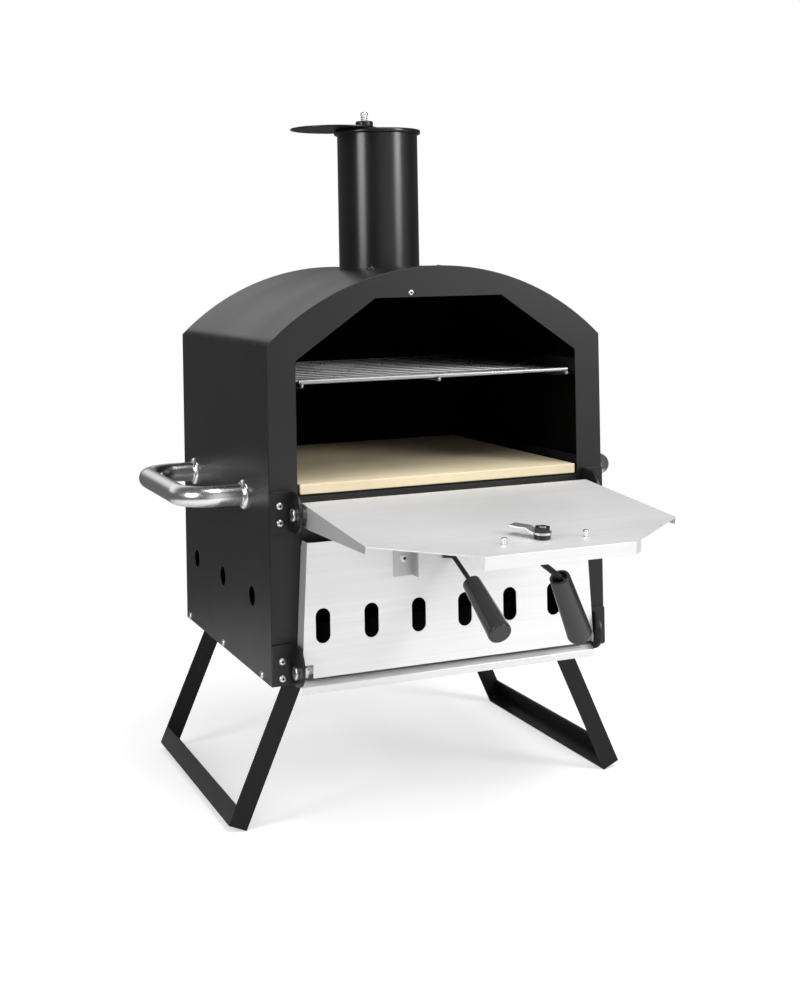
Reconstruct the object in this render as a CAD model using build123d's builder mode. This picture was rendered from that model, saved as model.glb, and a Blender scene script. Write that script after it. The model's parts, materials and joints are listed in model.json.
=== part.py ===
from build123d import *
import os
from math import atan2, cos, degrees, radians, sin, sqrt

os.makedirs("parts", exist_ok=True)

# Portable pizza oven on folding legs. Lengths in millimetres, angles in degrees.
# X runs to the right, Y from the front to the back, Z upwards. The ground is Z = 0.
# "delta" is a distance in front of the fascia, "yb" a distance behind its front face,
# and heights written as z are measured from the lower edge of the body.

BODY_W = 372.0
BODY_D = 325.0
WALL_H = 332.0
ARCH_RISE = 76.0
SHEET = 1.2
ARCH_R = ((BODY_W / 2) ** 2 + ARCH_RISE**2) / (2 * ARCH_RISE)
ARCH_ZC = WALL_H + ARCH_RISE - ARCH_R

LEG_SPLAY = 23.7
LEG_LEN = 168.0
LEG_W = 20.0
LEG_T = 2.5
LEG_PIVOT_X = 145.3
LEG_PIVOT_Z = 9.0
LEG_FRONT_YB = 35.6
LEG_REAR_YB = 319.0
BODY_Z = LEG_LEN * cos(radians(LEG_SPLAY)) + LEG_W / 2 * sin(radians(LEG_SPLAY)) - LEG_PIVOT_Z

OPENING = [(-156.5, 183), (156.5, 183), (156.5, 316.5), (70.6, 376.3), (-70.6, 376.3), (-156.5, 316.5)]
LOWER_OPENING = (280.0, 108.0, 78.0)

PIN_R = 3.0
PIVOT_DELTA = 14.0
UPPER_PIVOT_Z = 168.5
LOWER_PIVOT_Z = 15.0
EAR_X = 162.6
EAR_T = 2.5

DOOR_TILT = 4.7
DOOR_HALF = 158.0
DOOR_TOP_HALF = 74.7
DOOR_NEAR = 1.0
DOOR_SHOULDER = 170.7
DOOR_END = 235.3
DOOR_FACE_N = 11.5
LATCH_S = 198.0

# The front plane is placed so that the whole object, open door included, is centred on Y = 0.
FRONT_REACH = PIVOT_DELTA + DOOR_END * cos(radians(DOOR_TILT)) + DOOR_FACE_N * sin(radians(DOOR_TILT))
FRONT_Y = (FRONT_REACH - BODY_D) / 2

LOWER_FACE = 19.5
LOWER_BOTTOM_Z = 9.4
LOWER_TOP_Z = 141.0
LOWER_BOTTOM_HALF = 161.6
LOWER_TOP_HALF = 154.3

CHIMNEY_R = 45.0
CHIMNEY_YB = 163.0
CHIMNEY_TOP = 560.0
DAMPER_PIVOT = (-27.0, -30.0)
DAMPER_CENTRE = (-50.1, 3.2)

HANDLE_YB = (83.0, 277.0)
HANDLE_Z = 177.0
HANDLE_OUT = 61.25
HANDLE_R = 10.75


def yb(depth):
    return FRONT_Y + depth


def face_plane(depth):
    # Upright plane facing the front; sketch x is X and sketch y is the height above the body edge.
    return Plane(origin=(0, yb(depth), BODY_Z), x_dir=(1, 0, 0), z_dir=(0, -1, 0))


def side_plane(x):
    # Upright plane facing right; sketch x is the depth behind the fascia.
    return Plane(origin=(x, FRONT_Y, BODY_Z), x_dir=(0, 1, 0), z_dir=(1, 0, 0))


def floor_plane(z):
    return Plane(origin=(0, FRONT_Y, BODY_Z + z))


def arch(inset, bottom=0.0):
    half = BODY_W / 2 - inset
    radius = ARCH_R - inset
    spring = ARCH_ZC + sqrt(radius**2 - half**2)
    with BuildSketch() as sk:
        with BuildLine():
            Polyline((-half, spring), (-half, bottom), (half, bottom), (half, spring))
            ThreePointArc((half, spring), (0, ARCH_ZC + radius), (-half, spring))
        make_face()
    return sk.sketch


def band(inset, thick, bottom):
    # Bent strip that follows both walls and the arch, open at the bottom.
    with BuildSketch() as sk:
        add(arch(inset, bottom))
        add(arch(inset + thick, bottom - 1), mode=Mode.SUBTRACT)
    return sk.sketch


def strip(points, thick, side=Side.LEFT):
    # Folded sheet seen from its end.
    with BuildSketch() as sk:
        with BuildLine():
            Polyline(*points)
            offset(amount=thick, side=side)
        make_face()
    return sk.sketch


SHELL_BAND = band(0, SHEET, 0)
FLANGE_BAND = band(SHEET + 0.1, SHEET, 30)
SADDLE_BAND = band(SHEET + 0.1, SHEET, 300)
PANEL_FACE = arch(0)


# Body sheets

VENTS = [(63.0, 77.0), (169.5, 77.0), (276.0, 77.0)]
SIDE_SCREWS = [(31.3, 5.0), (169.5, 5.0), (308.0, 5.0)]
HANDLE_ENDS = [(d, HANDLE_Z) for d in HANDLE_YB]
ROOF_SCREWS = [(-40.0, 88.0), (40.0, 88.0)]

with BuildPart() as outer_shell:
    with BuildSketch(face_plane(SHEET)):
        add(SHELL_BAND)
    extrude(amount=-(BODY_D - 2 * SHEET))
    with BuildSketch(side_plane(-BODY_W)):
        with Locations(*VENTS):
            Circle(10)
        with Locations(*SIDE_SCREWS):
            Circle(2.2)
        with Locations(*HANDLE_ENDS):
            Circle(3.2)
    extrude(amount=2 * BODY_W, mode=Mode.SUBTRACT)
    with BuildSketch(floor_plane(ARCH_ZC + 200)):
        with Locations((0, CHIMNEY_YB)):
            Circle(CHIMNEY_R + 0.3)
        with Locations(*ROOF_SCREWS):
            Circle(2.5)
    extrude(amount=100, mode=Mode.SUBTRACT)
outer_shell.part.label = "outer_shell"
export_step(outer_shell.part, "parts/outer_shell.step")

HINGE_SCREWS = [(x, z) for x in (-176.0, 176.0) for z in (8.3, 24.9, 159.7, 176.2)]

with BuildPart() as front_fascia:
    with BuildSketch(face_plane(0)):
        add(PANEL_FACE)
        with BuildSketch(mode=Mode.SUBTRACT) as opening:
            Polygon(*OPENING, align=None)
            fillet(opening.vertices(), 3)
        with Locations((0, LOWER_OPENING[2])):
            RectangleRounded(LOWER_OPENING[0], LOWER_OPENING[1], 4, mode=Mode.SUBTRACT)
        with Locations(*HINGE_SCREWS, (-31.8, 381)):
            Circle(2.2, mode=Mode.SUBTRACT)
    extrude(amount=-SHEET)
    with BuildSketch(face_plane(SHEET)):
        add(FLANGE_BAND)
    extrude(amount=-12)
front_fascia.part.label = "front_fascia"
export_step(front_fascia.part, "parts/front_fascia.step")

with BuildPart() as rear_panel:
    with BuildSketch(face_plane(BODY_D)):
        add(PANEL_FACE)
    extrude(amount=SHEET)
    with BuildSketch(face_plane(BODY_D - SHEET)):
        add(FLANGE_BAND)
    extrude(amount=12)
rear_panel.part.label = "rear_panel"
export_step(rear_panel.part, "parts/rear_panel.step")

PAN_W = BODY_W - 2 * (SHEET + 0.1)
PAN_D = BODY_D - 2 * (SHEET + 0.1)
PAN_TOP = 21.2

with BuildPart() as base_pan:
    with BuildSketch(floor_plane(0)):
        with Locations((0, BODY_D / 2)):
            Rectangle(PAN_W, PAN_D)
            Rectangle(PAN_W - 2 * SHEET, PAN_D - 2 * SHEET, mode=Mode.SUBTRACT)
    extrude(amount=PAN_TOP)
    with BuildSketch(floor_plane(PAN_TOP - SHEET)):
        with Locations((0, BODY_D / 2)):
            Rectangle(PAN_W, PAN_D)
    extrude(amount=SHEET)
    with BuildSketch(side_plane(-BODY_W)):
        with Locations(*SIDE_SCREWS):
            Circle(2.2)
    extrude(amount=2 * BODY_W, mode=Mode.SUBTRACT)
    with BuildSketch(face_plane(0)):
        with Locations((-176.0, 8.3), (176.0, 8.3)):
            Circle(4.4)
    extrude(amount=-5, mode=Mode.SUBTRACT)
base_pan.part.label = "base_pan"
export_step(base_pan.part, "parts/base_pan.step")

SILL = strip([(0, 17), (0, 8), (-8, 6), (-14, 5.2), (-18.8, 1), (-18.8, -5.6)], 1.0, Side.RIGHT)

with BuildPart() as front_sill:
    with BuildSketch(side_plane(-161.7)):
        add(SILL)
    extrude(amount=323.4)
front_sill.part.label = "front_sill"
export_step(front_sill.part, "parts/front_sill.step")

with BuildPart() as fuel_tray:
    with BuildSketch(floor_plane(PAN_TOP)):
        with Locations((0, 165)):
            RectangleRounded(262, 240, 8)
    extrude(amount=24)
    tray_top = fuel_tray.faces().sort_by(Axis.Z)[-1]
    offset(amount=-1.0, openings=tray_top)
fuel_tray.part.label = "fuel_tray"
export_step(fuel_tray.part, "parts/fuel_tray.step")

SHELF_W = PAN_W - 2 * (SHEET + 0.2)

with BuildPart() as stone_shelf:
    with BuildSketch(floor_plane(183.8)):
        with Locations((0, BODY_D / 2)):
            Rectangle(SHELF_W, 318)
        with Locations((0, 165)):
            RectangleRounded(190, 220, 10, mode=Mode.SUBTRACT)
        with Locations((-135, 165), (135, 165)):
            RectangleRounded(42, 200, 10, mode=Mode.SUBTRACT)
    extrude(amount=SHEET)
    with BuildSketch(floor_plane(185)):
        with Locations((-(SHELF_W - SHEET) / 2, BODY_D / 2), ((SHELF_W - SHEET) / 2, BODY_D / 2)):
            Rectangle(SHEET, 290)
    extrude(amount=12)
    with BuildSketch(floor_plane(175)):
        with Locations((0, BODY_D / 2 - 159 + SHEET / 2)):
            Rectangle(330, SHEET)
    extrude(amount=8.8)
stone_shelf.part.label = "stone_shelf"
export_step(stone_shelf.part, "parts/stone_shelf.step")

with BuildPart() as pizza_stone:
    with BuildSketch(floor_plane(185)):
        with Locations((0, 152.5)):
            RectangleRounded(308, 305, 4)
    extrude(amount=10)
    chamfer(pizza_stone.faces().sort_by(Axis.Z)[-1].edges(), 1)
pizza_stone.part.label = "pizza_stone"
export_step(pizza_stone.part, "parts/pizza_stone.step")

# Wire rack and its two wall ledges

RACK_Z = 295.0

with BuildPart() as cooking_rack:
    with BuildSketch(side_plane(-151.5)):
        with Locations((8, RACK_Z), (290, RACK_Z)):
            Circle(2.4)
        with Locations(*[(8 + 23.5 * i, RACK_Z) for i in range(1, 12)]):
            Circle(1.5)
    extrude(amount=303)
    with BuildSketch(face_plane(3)):
        with Locations((-148.6, RACK_Z - 3.6), (0, RACK_Z - 3.6), (148.6, RACK_Z - 3.6)):
            Circle(2.2)
    extrude(amount=-292)
cooking_rack.part.label = "cooking_rack"
export_step(cooking_rack.part, "parts/cooking_rack.step")

LEDGE_Z = RACK_Z - 3.6 - 2.2
LEDGE = strip([(-184.7, LEDGE_Z + 14), (-184.7, LEDGE_Z - SHEET), (-145, LEDGE_Z - SHEET)], SHEET, Side.LEFT)

with BuildPart() as ledge_left:
    with BuildSketch(face_plane(20)):
        add(LEDGE)
    extrude(amount=-270)

with BuildPart() as rack_ledges:
    add(ledge_left.part)
    add(ledge_left.part.mirror(Plane.YZ))
rack_ledges.part.label = "rack_ledges"
export_step(rack_ledges.part, "parts/rack_ledges.step")

# Chimney and turning damper

AXIS_Y = yb(CHIMNEY_YB)
PIVOT_XY = (DAMPER_PIVOT[0], AXIS_Y + DAMPER_PIVOT[1])

with BuildPart() as chimney_tube:
    with BuildSketch(Plane.XY.offset(BODY_Z + 386)):
        with Locations((0, AXIS_Y)):
            Circle(CHIMNEY_R)
            Circle(CHIMNEY_R - SHEET, mode=Mode.SUBTRACT)
    extrude(amount=CHIMNEY_TOP - 386)
    with BuildSketch(Plane.XY.offset(BODY_Z + CHIMNEY_TOP - 5)):
        with Locations((0, AXIS_Y)):
            Circle(48.6)
            Circle(CHIMNEY_R - SHEET, mode=Mode.SUBTRACT)
    extrude(amount=5)
    rim_edges = chimney_tube.edges().filter_by(GeomType.CIRCLE).filter_by(lambda e: e.radius > 48)
    fillet(rim_edges, 1.8)
    with BuildSketch(Plane.XY.offset(BODY_Z + CHIMNEY_TOP - 2)) as tab:
        with Locations((0, AXIS_Y)):
            Circle(CHIMNEY_R - SHEET + 0.1)
        with Locations(PIVOT_XY):
            Circle(8.5, mode=Mode.INTERSECT)
            Circle(2.6, mode=Mode.SUBTRACT)
    extrude(amount=2)
chimney_tube.part.label = "chimney_tube"
export_step(chimney_tube.part, "parts/chimney_tube.step")

with BuildPart() as chimney_saddle:
    with BuildSketch(face_plane(CHIMNEY_YB - 88)):
        add(SADDLE_BAND)
    extrude(amount=-176)
    with BuildSketch(floor_plane(380)):
        with Locations((0, CHIMNEY_YB)):
            RectangleRounded(106, 176, 8)
            Circle(CHIMNEY_R + 0.05, mode=Mode.SUBTRACT)
        with Locations(*ROOF_SCREWS):
            Circle(2.8, mode=Mode.SUBTRACT)
    extrude(amount=40, mode=Mode.INTERSECT)
chimney_saddle.part.label = "chimney_saddle"
export_step(chimney_saddle.part, "parts/chimney_saddle.step")

with BuildPart() as damper_disc:
    with BuildSketch(Plane.XY.offset(BODY_Z + CHIMNEY_TOP + 0.4)):
        with Locations((DAMPER_CENTRE[0], AXIS_Y + DAMPER_CENTRE[1])):
            Circle(48.8)
        with Locations(PIVOT_XY):
            Circle(2.6, mode=Mode.SUBTRACT)
    extrude(amount=1.5)
damper_disc.part.label = "damper_disc"
export_step(damper_disc.part, "parts/damper_disc.step")

BOSS_Z = BODY_Z + CHIMNEY_TOP + 1.9

with BuildPart() as damper_boss:
    with BuildSketch(Plane.XY.offset(BOSS_Z)):
        with Locations(PIVOT_XY):
            Circle(9.6)
            Circle(2.6, mode=Mode.SUBTRACT)
    extrude(amount=5.4)
    boss_rim = damper_boss.edges().filter_by(GeomType.CIRCLE).group_by(Axis.Z)[-1]
    fillet(boss_rim.sort_by(SortBy.RADIUS)[-1], 1.5)
damper_boss.part.label = "damper_boss"
export_step(damper_boss.part, "parts/damper_boss.step")

SPRING_Z = BOSS_Z + 5.4

with BuildPart() as damper_screw:
    with BuildSketch(Plane.XY.offset(BODY_Z + CHIMNEY_TOP - 8)):
        with Locations(PIVOT_XY):
            Circle(2.52)
    extrude(amount=SPRING_Z + 9.0 - (BODY_Z + CHIMNEY_TOP - 8))
    with BuildSketch(Plane.XY.offset(SPRING_Z + 7.0)):
        with Locations(PIVOT_XY):
            Circle(4.4)
    extrude(amount=3.2)
    fillet(damper_screw.edges().group_by(Axis.Z)[-1], 1.0)
    with BuildSketch(Plane.XY.offset(SPRING_Z + 10.2)):
        with Locations(PIVOT_XY):
            RegularPolygon(1.7, 6)
    extrude(amount=-1.8, mode=Mode.SUBTRACT)
    with BuildSketch(Plane.XY.offset(BODY_Z + CHIMNEY_TOP - 6)):
        with Locations(PIVOT_XY):
            RegularPolygon(3.4, 6)
    extrude(amount=3.6)
damper_screw.part.label = "damper_screw"
export_step(damper_screw.part, "parts/damper_screw.step")

with BuildPart() as damper_spring:
    with BuildLine(Plane(origin=(*PIVOT_XY, SPRING_Z + 0.6))):
        coil = Helix(pitch=1.87, height=5.6, radius=3.3)
    with BuildSketch(Plane(origin=coil @ 0, z_dir=coil % 0)):
        RegularPolygon(0.55, 6)
    sweep(path=coil, is_frenet=True)
damper_spring.part.label = "damper_spring"
export_step(damper_spring.part, "parts/damper_spring.step")


# Fasteners

def screw(plane, head_r, head_h, shank_r, grip, nut_r=3.6, nut_h=2.6):
    # Button head above the plane, shank and nut below it.
    with BuildPart() as bolt:
        with BuildSketch(plane.offset(-grip - nut_h - 1.0)):
            Circle(shank_r)
        extrude(amount=grip + nut_h + 1.0)
        with BuildSketch(plane.offset(-grip - nut_h)):
            RegularPolygon(nut_r, 6)
        extrude(amount=nut_h)
        with BuildSketch(plane):
            Circle(head_r)
        extrude(amount=head_h, taper=18)
        with BuildSketch(plane.offset(head_h)):
            RegularPolygon(head_r * 0.4, 6)
        extrude(amount=-0.6 * head_h, mode=Mode.SUBTRACT)
    return bolt.part


def front_at(x, delta, z):
    return Plane(origin=(x, yb(-delta), BODY_Z + z), x_dir=(1, 0, 0), z_dir=(0, -1, 0))


def outward_at(x, depth, z):
    return Plane(origin=(x, yb(depth), BODY_Z + z), x_dir=(0, 1, 0), z_dir=(1 if x > 0 else -1, 0, 0))


def roof_at(x, depth):
    lean = atan2(x, sqrt(ARCH_R**2 - x**2))
    origin = (ARCH_R * sin(lean), yb(depth), BODY_Z + ARCH_ZC + ARCH_R * cos(lean))
    return Plane(origin=origin, x_dir=(0, 1, 0), z_dir=(sin(lean), 0, cos(lean)))


with BuildPart() as roof_screws:
    for x, depth in ROOF_SCREWS:
        add(screw(roof_at(x, depth), 4.4, 3.2, 2.0, 2.6))
roof_screws.part.label = "roof_screws"
export_step(roof_screws.part, "parts/roof_screws.step")

with BuildPart() as side_screws:
    for side in (-1, 1):
        for depth, z in SIDE_SCREWS:
            add(screw(outward_at(side * BODY_W / 2, depth, z), 3.7, 2.2, 2.0, 2.6))
side_screws.part.label = "side_screws"
export_step(side_screws.part, "parts/side_screws.step")

with BuildPart() as fascia_screw:
    add(screw(front_at(-31.8, 0, 381), 3.0, 2.0, 1.8, SHEET))
fascia_screw.part.label = "fascia_screw"
export_step(fascia_screw.part, "parts/fascia_screw.step")


# Hinge brackets: a base plate on the fascia and a rounded ear that carries the pivot.

def hinge_bracket(ear_low, ear_mid, pivot_z, screws):
    with BuildPart() as bracket:
        with BuildSketch(side_plane(EAR_X)):
            with BuildLine():
                Polyline((0, ear_low), (-13, ear_low))
                Line((-13, 2 * ear_mid - ear_low), (0, 2 * ear_mid - ear_low))
                radius = ear_mid - ear_low
                ThreePointArc((-13, ear_low), (-13 - radius, ear_mid), (-13, ear_mid + radius))
                Line((0, 2 * ear_mid - ear_low), (0, ear_low))
            make_face()
            with Locations((-PIVOT_DELTA, pivot_z)):
                Circle(PIN_R + 0.05, mode=Mode.SUBTRACT)
        extrude(amount=EAR_T)
        with BuildSketch(face_plane(0)):
            with Locations((EAR_X + 11.5, ear_mid)):
                RectangleRounded(23, 2 * (ear_mid - ear_low), 2.5)
            with Locations(*[(176.0, z) for z in screws]):
                Circle(2.2, mode=Mode.SUBTRACT)
        extrude(amount=EAR_T)
    return bracket.part


lower_ear = hinge_bracket(1, 21, LOWER_PIVOT_Z, (8.3, 24.9))
upper_ear = hinge_bracket(150, 170, UPPER_PIVOT_Z, (159.7, 176.2))

for node, ear in (("lower_hinge_brackets", lower_ear), ("upper_hinge_brackets", upper_ear)):
    with BuildPart() as pair:
        add(ear)
        add(ear.mirror(Plane.YZ))
    pair.part.label = node
    export_step(pair.part, f"parts/{node}.step")

with BuildPart() as hinge_screws:
    for x, z in HINGE_SCREWS:
        add(screw(front_at(x, EAR_T, z), 3.7, 2.4, 2.0, EAR_T + SHEET))
hinge_screws.part.label = "hinge_screws"
export_step(hinge_screws.part, "parts/hinge_screws.step")


# Hinge pins: pan head outside the ear, spacer between ear and door, nut inside the door flange.

def hinge_pin(pivot_z, flange_out, nut_out, nut_len):
    axis = Plane(origin=(0, yb(-PIVOT_DELTA), BODY_Z + pivot_z), x_dir=(0, 1, 0), z_dir=(1, 0, 0))
    with BuildPart() as pin:
        with BuildSketch(axis.offset(nut_out - nut_len - 1.5)):
            Circle(PIN_R)
        extrude(amount=EAR_X + EAR_T - nut_out + nut_len + 1.5)
        with BuildSketch(axis.offset(nut_out - nut_len)):
            RegularPolygon(5.6, 6)
        extrude(amount=nut_len)
        with BuildSketch(axis.offset(flange_out)):
            Circle(5.0)
        extrude(amount=EAR_X - flange_out)
        with BuildSketch(axis.offset(EAR_X + EAR_T)):
            Circle(6.6)
        extrude(amount=3.0)
        head_edge = pin.edges().group_by(Axis.X)[-1]
        fillet(head_edge, 1.4)
    return pin.part


upper_pin = hinge_pin(UPPER_PIVOT_Z, DOOR_HALF + 0.3, DOOR_HALF - SHEET - 0.3, 4.0)
lower_pin = hinge_pin(LOWER_PIVOT_Z, LOWER_BOTTOM_HALF + 0.3, 159.0, 4.0)

for node, half_pin in (("upper_hinge_pins", upper_pin), ("lower_hinge_pins", lower_pin)):
    with BuildPart() as pair:
        add(half_pin)
        add(half_pin.mirror(Plane.YZ))
    pair.part.label = node
    export_step(pair.part, f"parts/{node}.step")

# Upper door, shown folded down to the front. "s" runs along the door away from its pivot,
# "n" is the distance above the pivot, square to the door.

TILT = radians(DOOR_TILT)
DOOR_ORIGIN = Vector(0, yb(-PIVOT_DELTA), BODY_Z + UPPER_PIVOT_Z)
S_DIR = Vector(0, -cos(TILT), -sin(TILT))
N_DIR = Vector(0, -sin(TILT), cos(TILT))


def door_point(x, s, n):
    return DOOR_ORIGIN + Vector(x, 0, 0) + S_DIR * s + N_DIR * n


def door_plane(n, x=0.0, s=0.0, up=False):
    # Plane parallel to the door; extruding goes down, or up when asked.
    return Plane(origin=door_point(x, s, n), x_dir=(1, 0, 0), z_dir=N_DIR if up else -N_DIR)


door_outline = [
    (-DOOR_HALF, DOOR_NEAR),
    (DOOR_HALF, DOOR_NEAR),
    (DOOR_HALF, DOOR_SHOULDER),
    (DOOR_TOP_HALF, DOOR_END),
    (-DOOR_TOP_HALF, DOOR_END),
    (-DOOR_HALF, DOOR_SHOULDER),
]
UPPER_SCREWS = [(-41.0, 204.0), (41.0, 204.0)]
STUD_N = 16.0
RETURN_LEN = 12.0
slope = Vector(DOOR_HALF - DOOR_TOP_HALF, DOOR_SHOULDER - DOOR_END, 0).normalized()
inner = Vector(slope.Y, -slope.X, 0)
corner = Vector(DOOR_TOP_HALF, DOOR_END, 0)
return_tab = [corner, corner + slope * RETURN_LEN, corner + slope * RETURN_LEN + inner * SHEET, corner + inner * SHEET]

with BuildPart() as upper_door:
    with BuildSketch(door_plane(DOOR_FACE_N)):
        Polygon(*door_outline, align=None)
        with Locations(*UPPER_SCREWS):
            Circle(2.2, mode=Mode.SUBTRACT)
        with Locations((0, LATCH_S)):
            Circle(4.08, mode=Mode.SUBTRACT)
    extrude(amount=SHEET)
    with BuildSketch(door_plane(DOOR_FACE_N)):
        with Locations((0, DOOR_END - SHEET / 2)):
            Rectangle(2 * DOOR_TOP_HALF, SHEET)
        Polygon(*[(v.X, v.Y) for v in return_tab], align=None)
        Polygon(*[(-v.X, v.Y) for v in return_tab], align=None)
    extrude(amount=12)
    for x_out in (-DOOR_HALF + SHEET, DOOR_HALF):
        flange_plane = Plane(origin=door_point(x_out, 0, 0), x_dir=S_DIR, z_dir=(-1, 0, 0))
        with BuildSketch(flange_plane):
            Circle(10.5)
            Polygon((DOOR_NEAR, -10), (20, -10.5), (DOOR_SHOULDER, 4.5), (DOOR_SHOULDER, DOOR_FACE_N),
                    (DOOR_NEAR, DOOR_FACE_N), align=None)
            Circle(PIN_R + 0.08, mode=Mode.SUBTRACT)
        extrude(amount=SHEET)
upper_door.part.label = "upper_door"
export_step(upper_door.part, "parts/upper_door.step")

with BuildPart() as latch_plate:
    with BuildSketch(door_plane(DOOR_FACE_N - SHEET)):
        with Locations((0, 200)):
            RectangleRounded(104, 26, 4)
        with Locations(*UPPER_SCREWS):
            Circle(2.2, mode=Mode.SUBTRACT)
        with Locations((0, LATCH_S)):
            Circle(4.08, mode=Mode.SUBTRACT)
    extrude(amount=2.0)
latch_plate.part.label = "latch_plate"
export_step(latch_plate.part, "parts/latch_plate.step")

with BuildPart() as upper_door_screws:
    for x, s in UPPER_SCREWS:
        add(screw(door_plane(STUD_N, x, s, up=True), 2.7, 1.6, 1.7, STUD_N - DOOR_FACE_N + SHEET + 2.0))
upper_door_screws.part.label = "upper_door_screws"
export_step(upper_door_screws.part, "parts/upper_door_screws.step")

# Turning latch: shaft, spacer and nut, a stepped tongue with a round eye between them, bent bar and grip.
# Closed, the eye passes through the mouth and the tongue turns up behind the front panel's upper edge.

with BuildPart() as latch_shaft:
    with BuildSketch(door_plane(23.0, 0, LATCH_S)):
        Circle(4.0)
    extrude(amount=30.0)
    with BuildSketch(door_plane(8.0, 0, LATCH_S)):
        Circle(8.0)
        Circle(4.0, mode=Mode.SUBTRACT)
    extrude(amount=2.0)
latch_shaft.part.label = "latch_shaft"
export_step(latch_shaft.part, "parts/latch_shaft.step")

TONGUE_ANGLE = 124.5
tongue_dir = Vector(cos(radians(TONGUE_ANGLE)), 0, 0) - S_DIR * sin(radians(TONGUE_ANGLE))
tongue_side = N_DIR.cross(tongue_dir)
tongue_plane = Plane(origin=door_point(0, LATCH_S, 0), x_dir=tongue_dir, z_dir=-tongue_side)
TONGUE_N = 16.0
TONGUE = strip([(-4, TONGUE_N), (9.5, TONGUE_N), (14.0, TONGUE_N + 2.5), (31.0, TONGUE_N + 2.5)], 2.0, Side.LEFT)

with BuildPart() as cam_tongue:
    with BuildSketch(tongue_plane):
        add(TONGUE)
    extrude(amount=6.0, both=True)
    with BuildSketch(door_plane(TONGUE_N, 0, LATCH_S, up=True)):
        Circle(8.6)
    extrude(amount=2.0)
    with BuildSketch(door_plane(30, 0, LATCH_S)):
        Circle(4.02)
    extrude(amount=30, mode=Mode.SUBTRACT)
cam_tongue.part.label = "cam_tongue"
export_step(cam_tongue.part, "parts/cam_tongue.step")

with BuildPart() as latch_hub:
    with BuildSketch(door_plane(DOOR_FACE_N + 0.3, 0, LATCH_S, up=True)):
        Circle(7.6)
        Circle(4.02, mode=Mode.SUBTRACT)
    extrude(amount=TONGUE_N - DOOR_FACE_N - 0.4)
    with BuildSketch(door_plane(TONGUE_N + 2.1, 0, LATCH_S, up=True)):
        RegularPolygon(7.6, 6)
        Circle(4.02, mode=Mode.SUBTRACT)
    extrude(amount=4.2)
latch_hub.part.label = "latch_hub"
export_step(latch_hub.part, "parts/latch_hub.step")


# Tapered grips with a recessed end where the bar goes in

def grip(start, direction, length):
    plane = Plane(origin=start, z_dir=direction)
    with BuildPart() as body:
        with BuildSketch(plane):
            Circle(9.3)
        with BuildSketch(plane.offset(length - 3)):
            Circle(11.8)
        with BuildSketch(plane.offset(length)):
            Circle(11.4)
        loft(ruled=True)
        with BuildSketch(plane):
            Circle(6.6)
        extrude(amount=5, mode=Mode.SUBTRACT)
    return body.part


UPPER_GRIP_TOP = door_point(14, 205.8, -22.5)
UPPER_GRIP_DIR = (Vector(0.45, 0, 0) - S_DIR * 0.23 - N_DIR * 0.87).normalized()
LOWER_GRIP_TOP = Vector(0, yb(-63.7), BODY_Z + 95.9)
LOWER_GRIP_DIR = (Vector(0, yb(-119.7), BODY_Z + 62.7) - LOWER_GRIP_TOP).normalized()

with BuildPart() as upper_grip:
    add(grip(UPPER_GRIP_TOP, UPPER_GRIP_DIR, 72))
    with BuildSketch(Plane(origin=UPPER_GRIP_TOP, z_dir=UPPER_GRIP_DIR)):
        Circle(2.9)
    extrude(amount=40, mode=Mode.SUBTRACT)
upper_grip.part.label = "upper_grip"
export_step(upper_grip.part, "parts/upper_grip.step")

with BuildPart() as latch_bar:
    with BuildLine() as latch_path:
        FilletPolyline(door_point(0, LATCH_S, -7.0), door_point(0, LATCH_S, -10.5),
                       UPPER_GRIP_TOP, UPPER_GRIP_TOP + UPPER_GRIP_DIR * 34, radius=3)
    with BuildSketch(Plane(origin=latch_path.line @ 0, z_dir=latch_path.line % 0)):
        Circle(2.8)
    sweep(path=latch_path.line)
latch_bar.part.label = "latch_bar"
export_step(latch_bar.part, "parts/latch_bar.step")

# Lower door: slotted face, two side flanges with pivot holes, notched bottom corners.

SLOTS = [(-139.3 + 50.84 * i, 59.5) for i in range(6)]
side_lean = degrees(atan2(LOWER_BOTTOM_HALF - LOWER_TOP_HALF, LOWER_TOP_Z - LOWER_BOTTOM_Z))

with BuildPart() as lower_flange:
    flange_base = Plane(origin=(-LOWER_BOTTOM_HALF, FRONT_Y, BODY_Z + LOWER_BOTTOM_Z),
                        x_dir=(0, 1, 0), z_dir=(cos(radians(side_lean)), 0, -sin(radians(side_lean))))
    rise = (LOWER_TOP_Z - LOWER_BOTTOM_Z) / cos(radians(side_lean))
    pivot_up = LOWER_PIVOT_Z - LOWER_BOTTOM_Z
    with BuildSketch(flange_base):
        Polygon((-LOWER_FACE, 0), (-8, 0), (-1.4, pivot_up), (-1.0, 14), (-1.0, rise - 6), (-3.5, rise),
                (-LOWER_FACE, rise), align=None)
    extrude(amount=SHEET)
    with BuildSketch(side_plane(-170)):
        with Locations((-PIVOT_DELTA, LOWER_PIVOT_Z)):
            Circle(PIN_R + 0.08)
    extrude(amount=20, mode=Mode.SUBTRACT)

with BuildPart() as lower_door:
    with BuildSketch(face_plane(-LOWER_FACE)):
        Polygon((-LOWER_BOTTOM_HALF, LOWER_BOTTOM_Z), (LOWER_BOTTOM_HALF, LOWER_BOTTOM_Z),
                (LOWER_TOP_HALF, LOWER_TOP_Z), (-LOWER_TOP_HALF, LOWER_TOP_Z), align=None)
        with Locations(*SLOTS):
            SlotOverall(34, 15, rotation=90, mode=Mode.SUBTRACT)
        for side in (-1, 1):
            with Locations((side * 155.4, 14.5)):
                Rectangle(10.2, 16, mode=Mode.SUBTRACT)
        with Locations((-53.4, 117.5)):
            Circle(2.2, mode=Mode.SUBTRACT)
    extrude(amount=-SHEET)
    add(lower_flange.part)
    add(lower_flange.part.mirror(Plane.YZ))
lower_door.part.label = "lower_door"
export_step(lower_door.part, "parts/lower_door.step")

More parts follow.
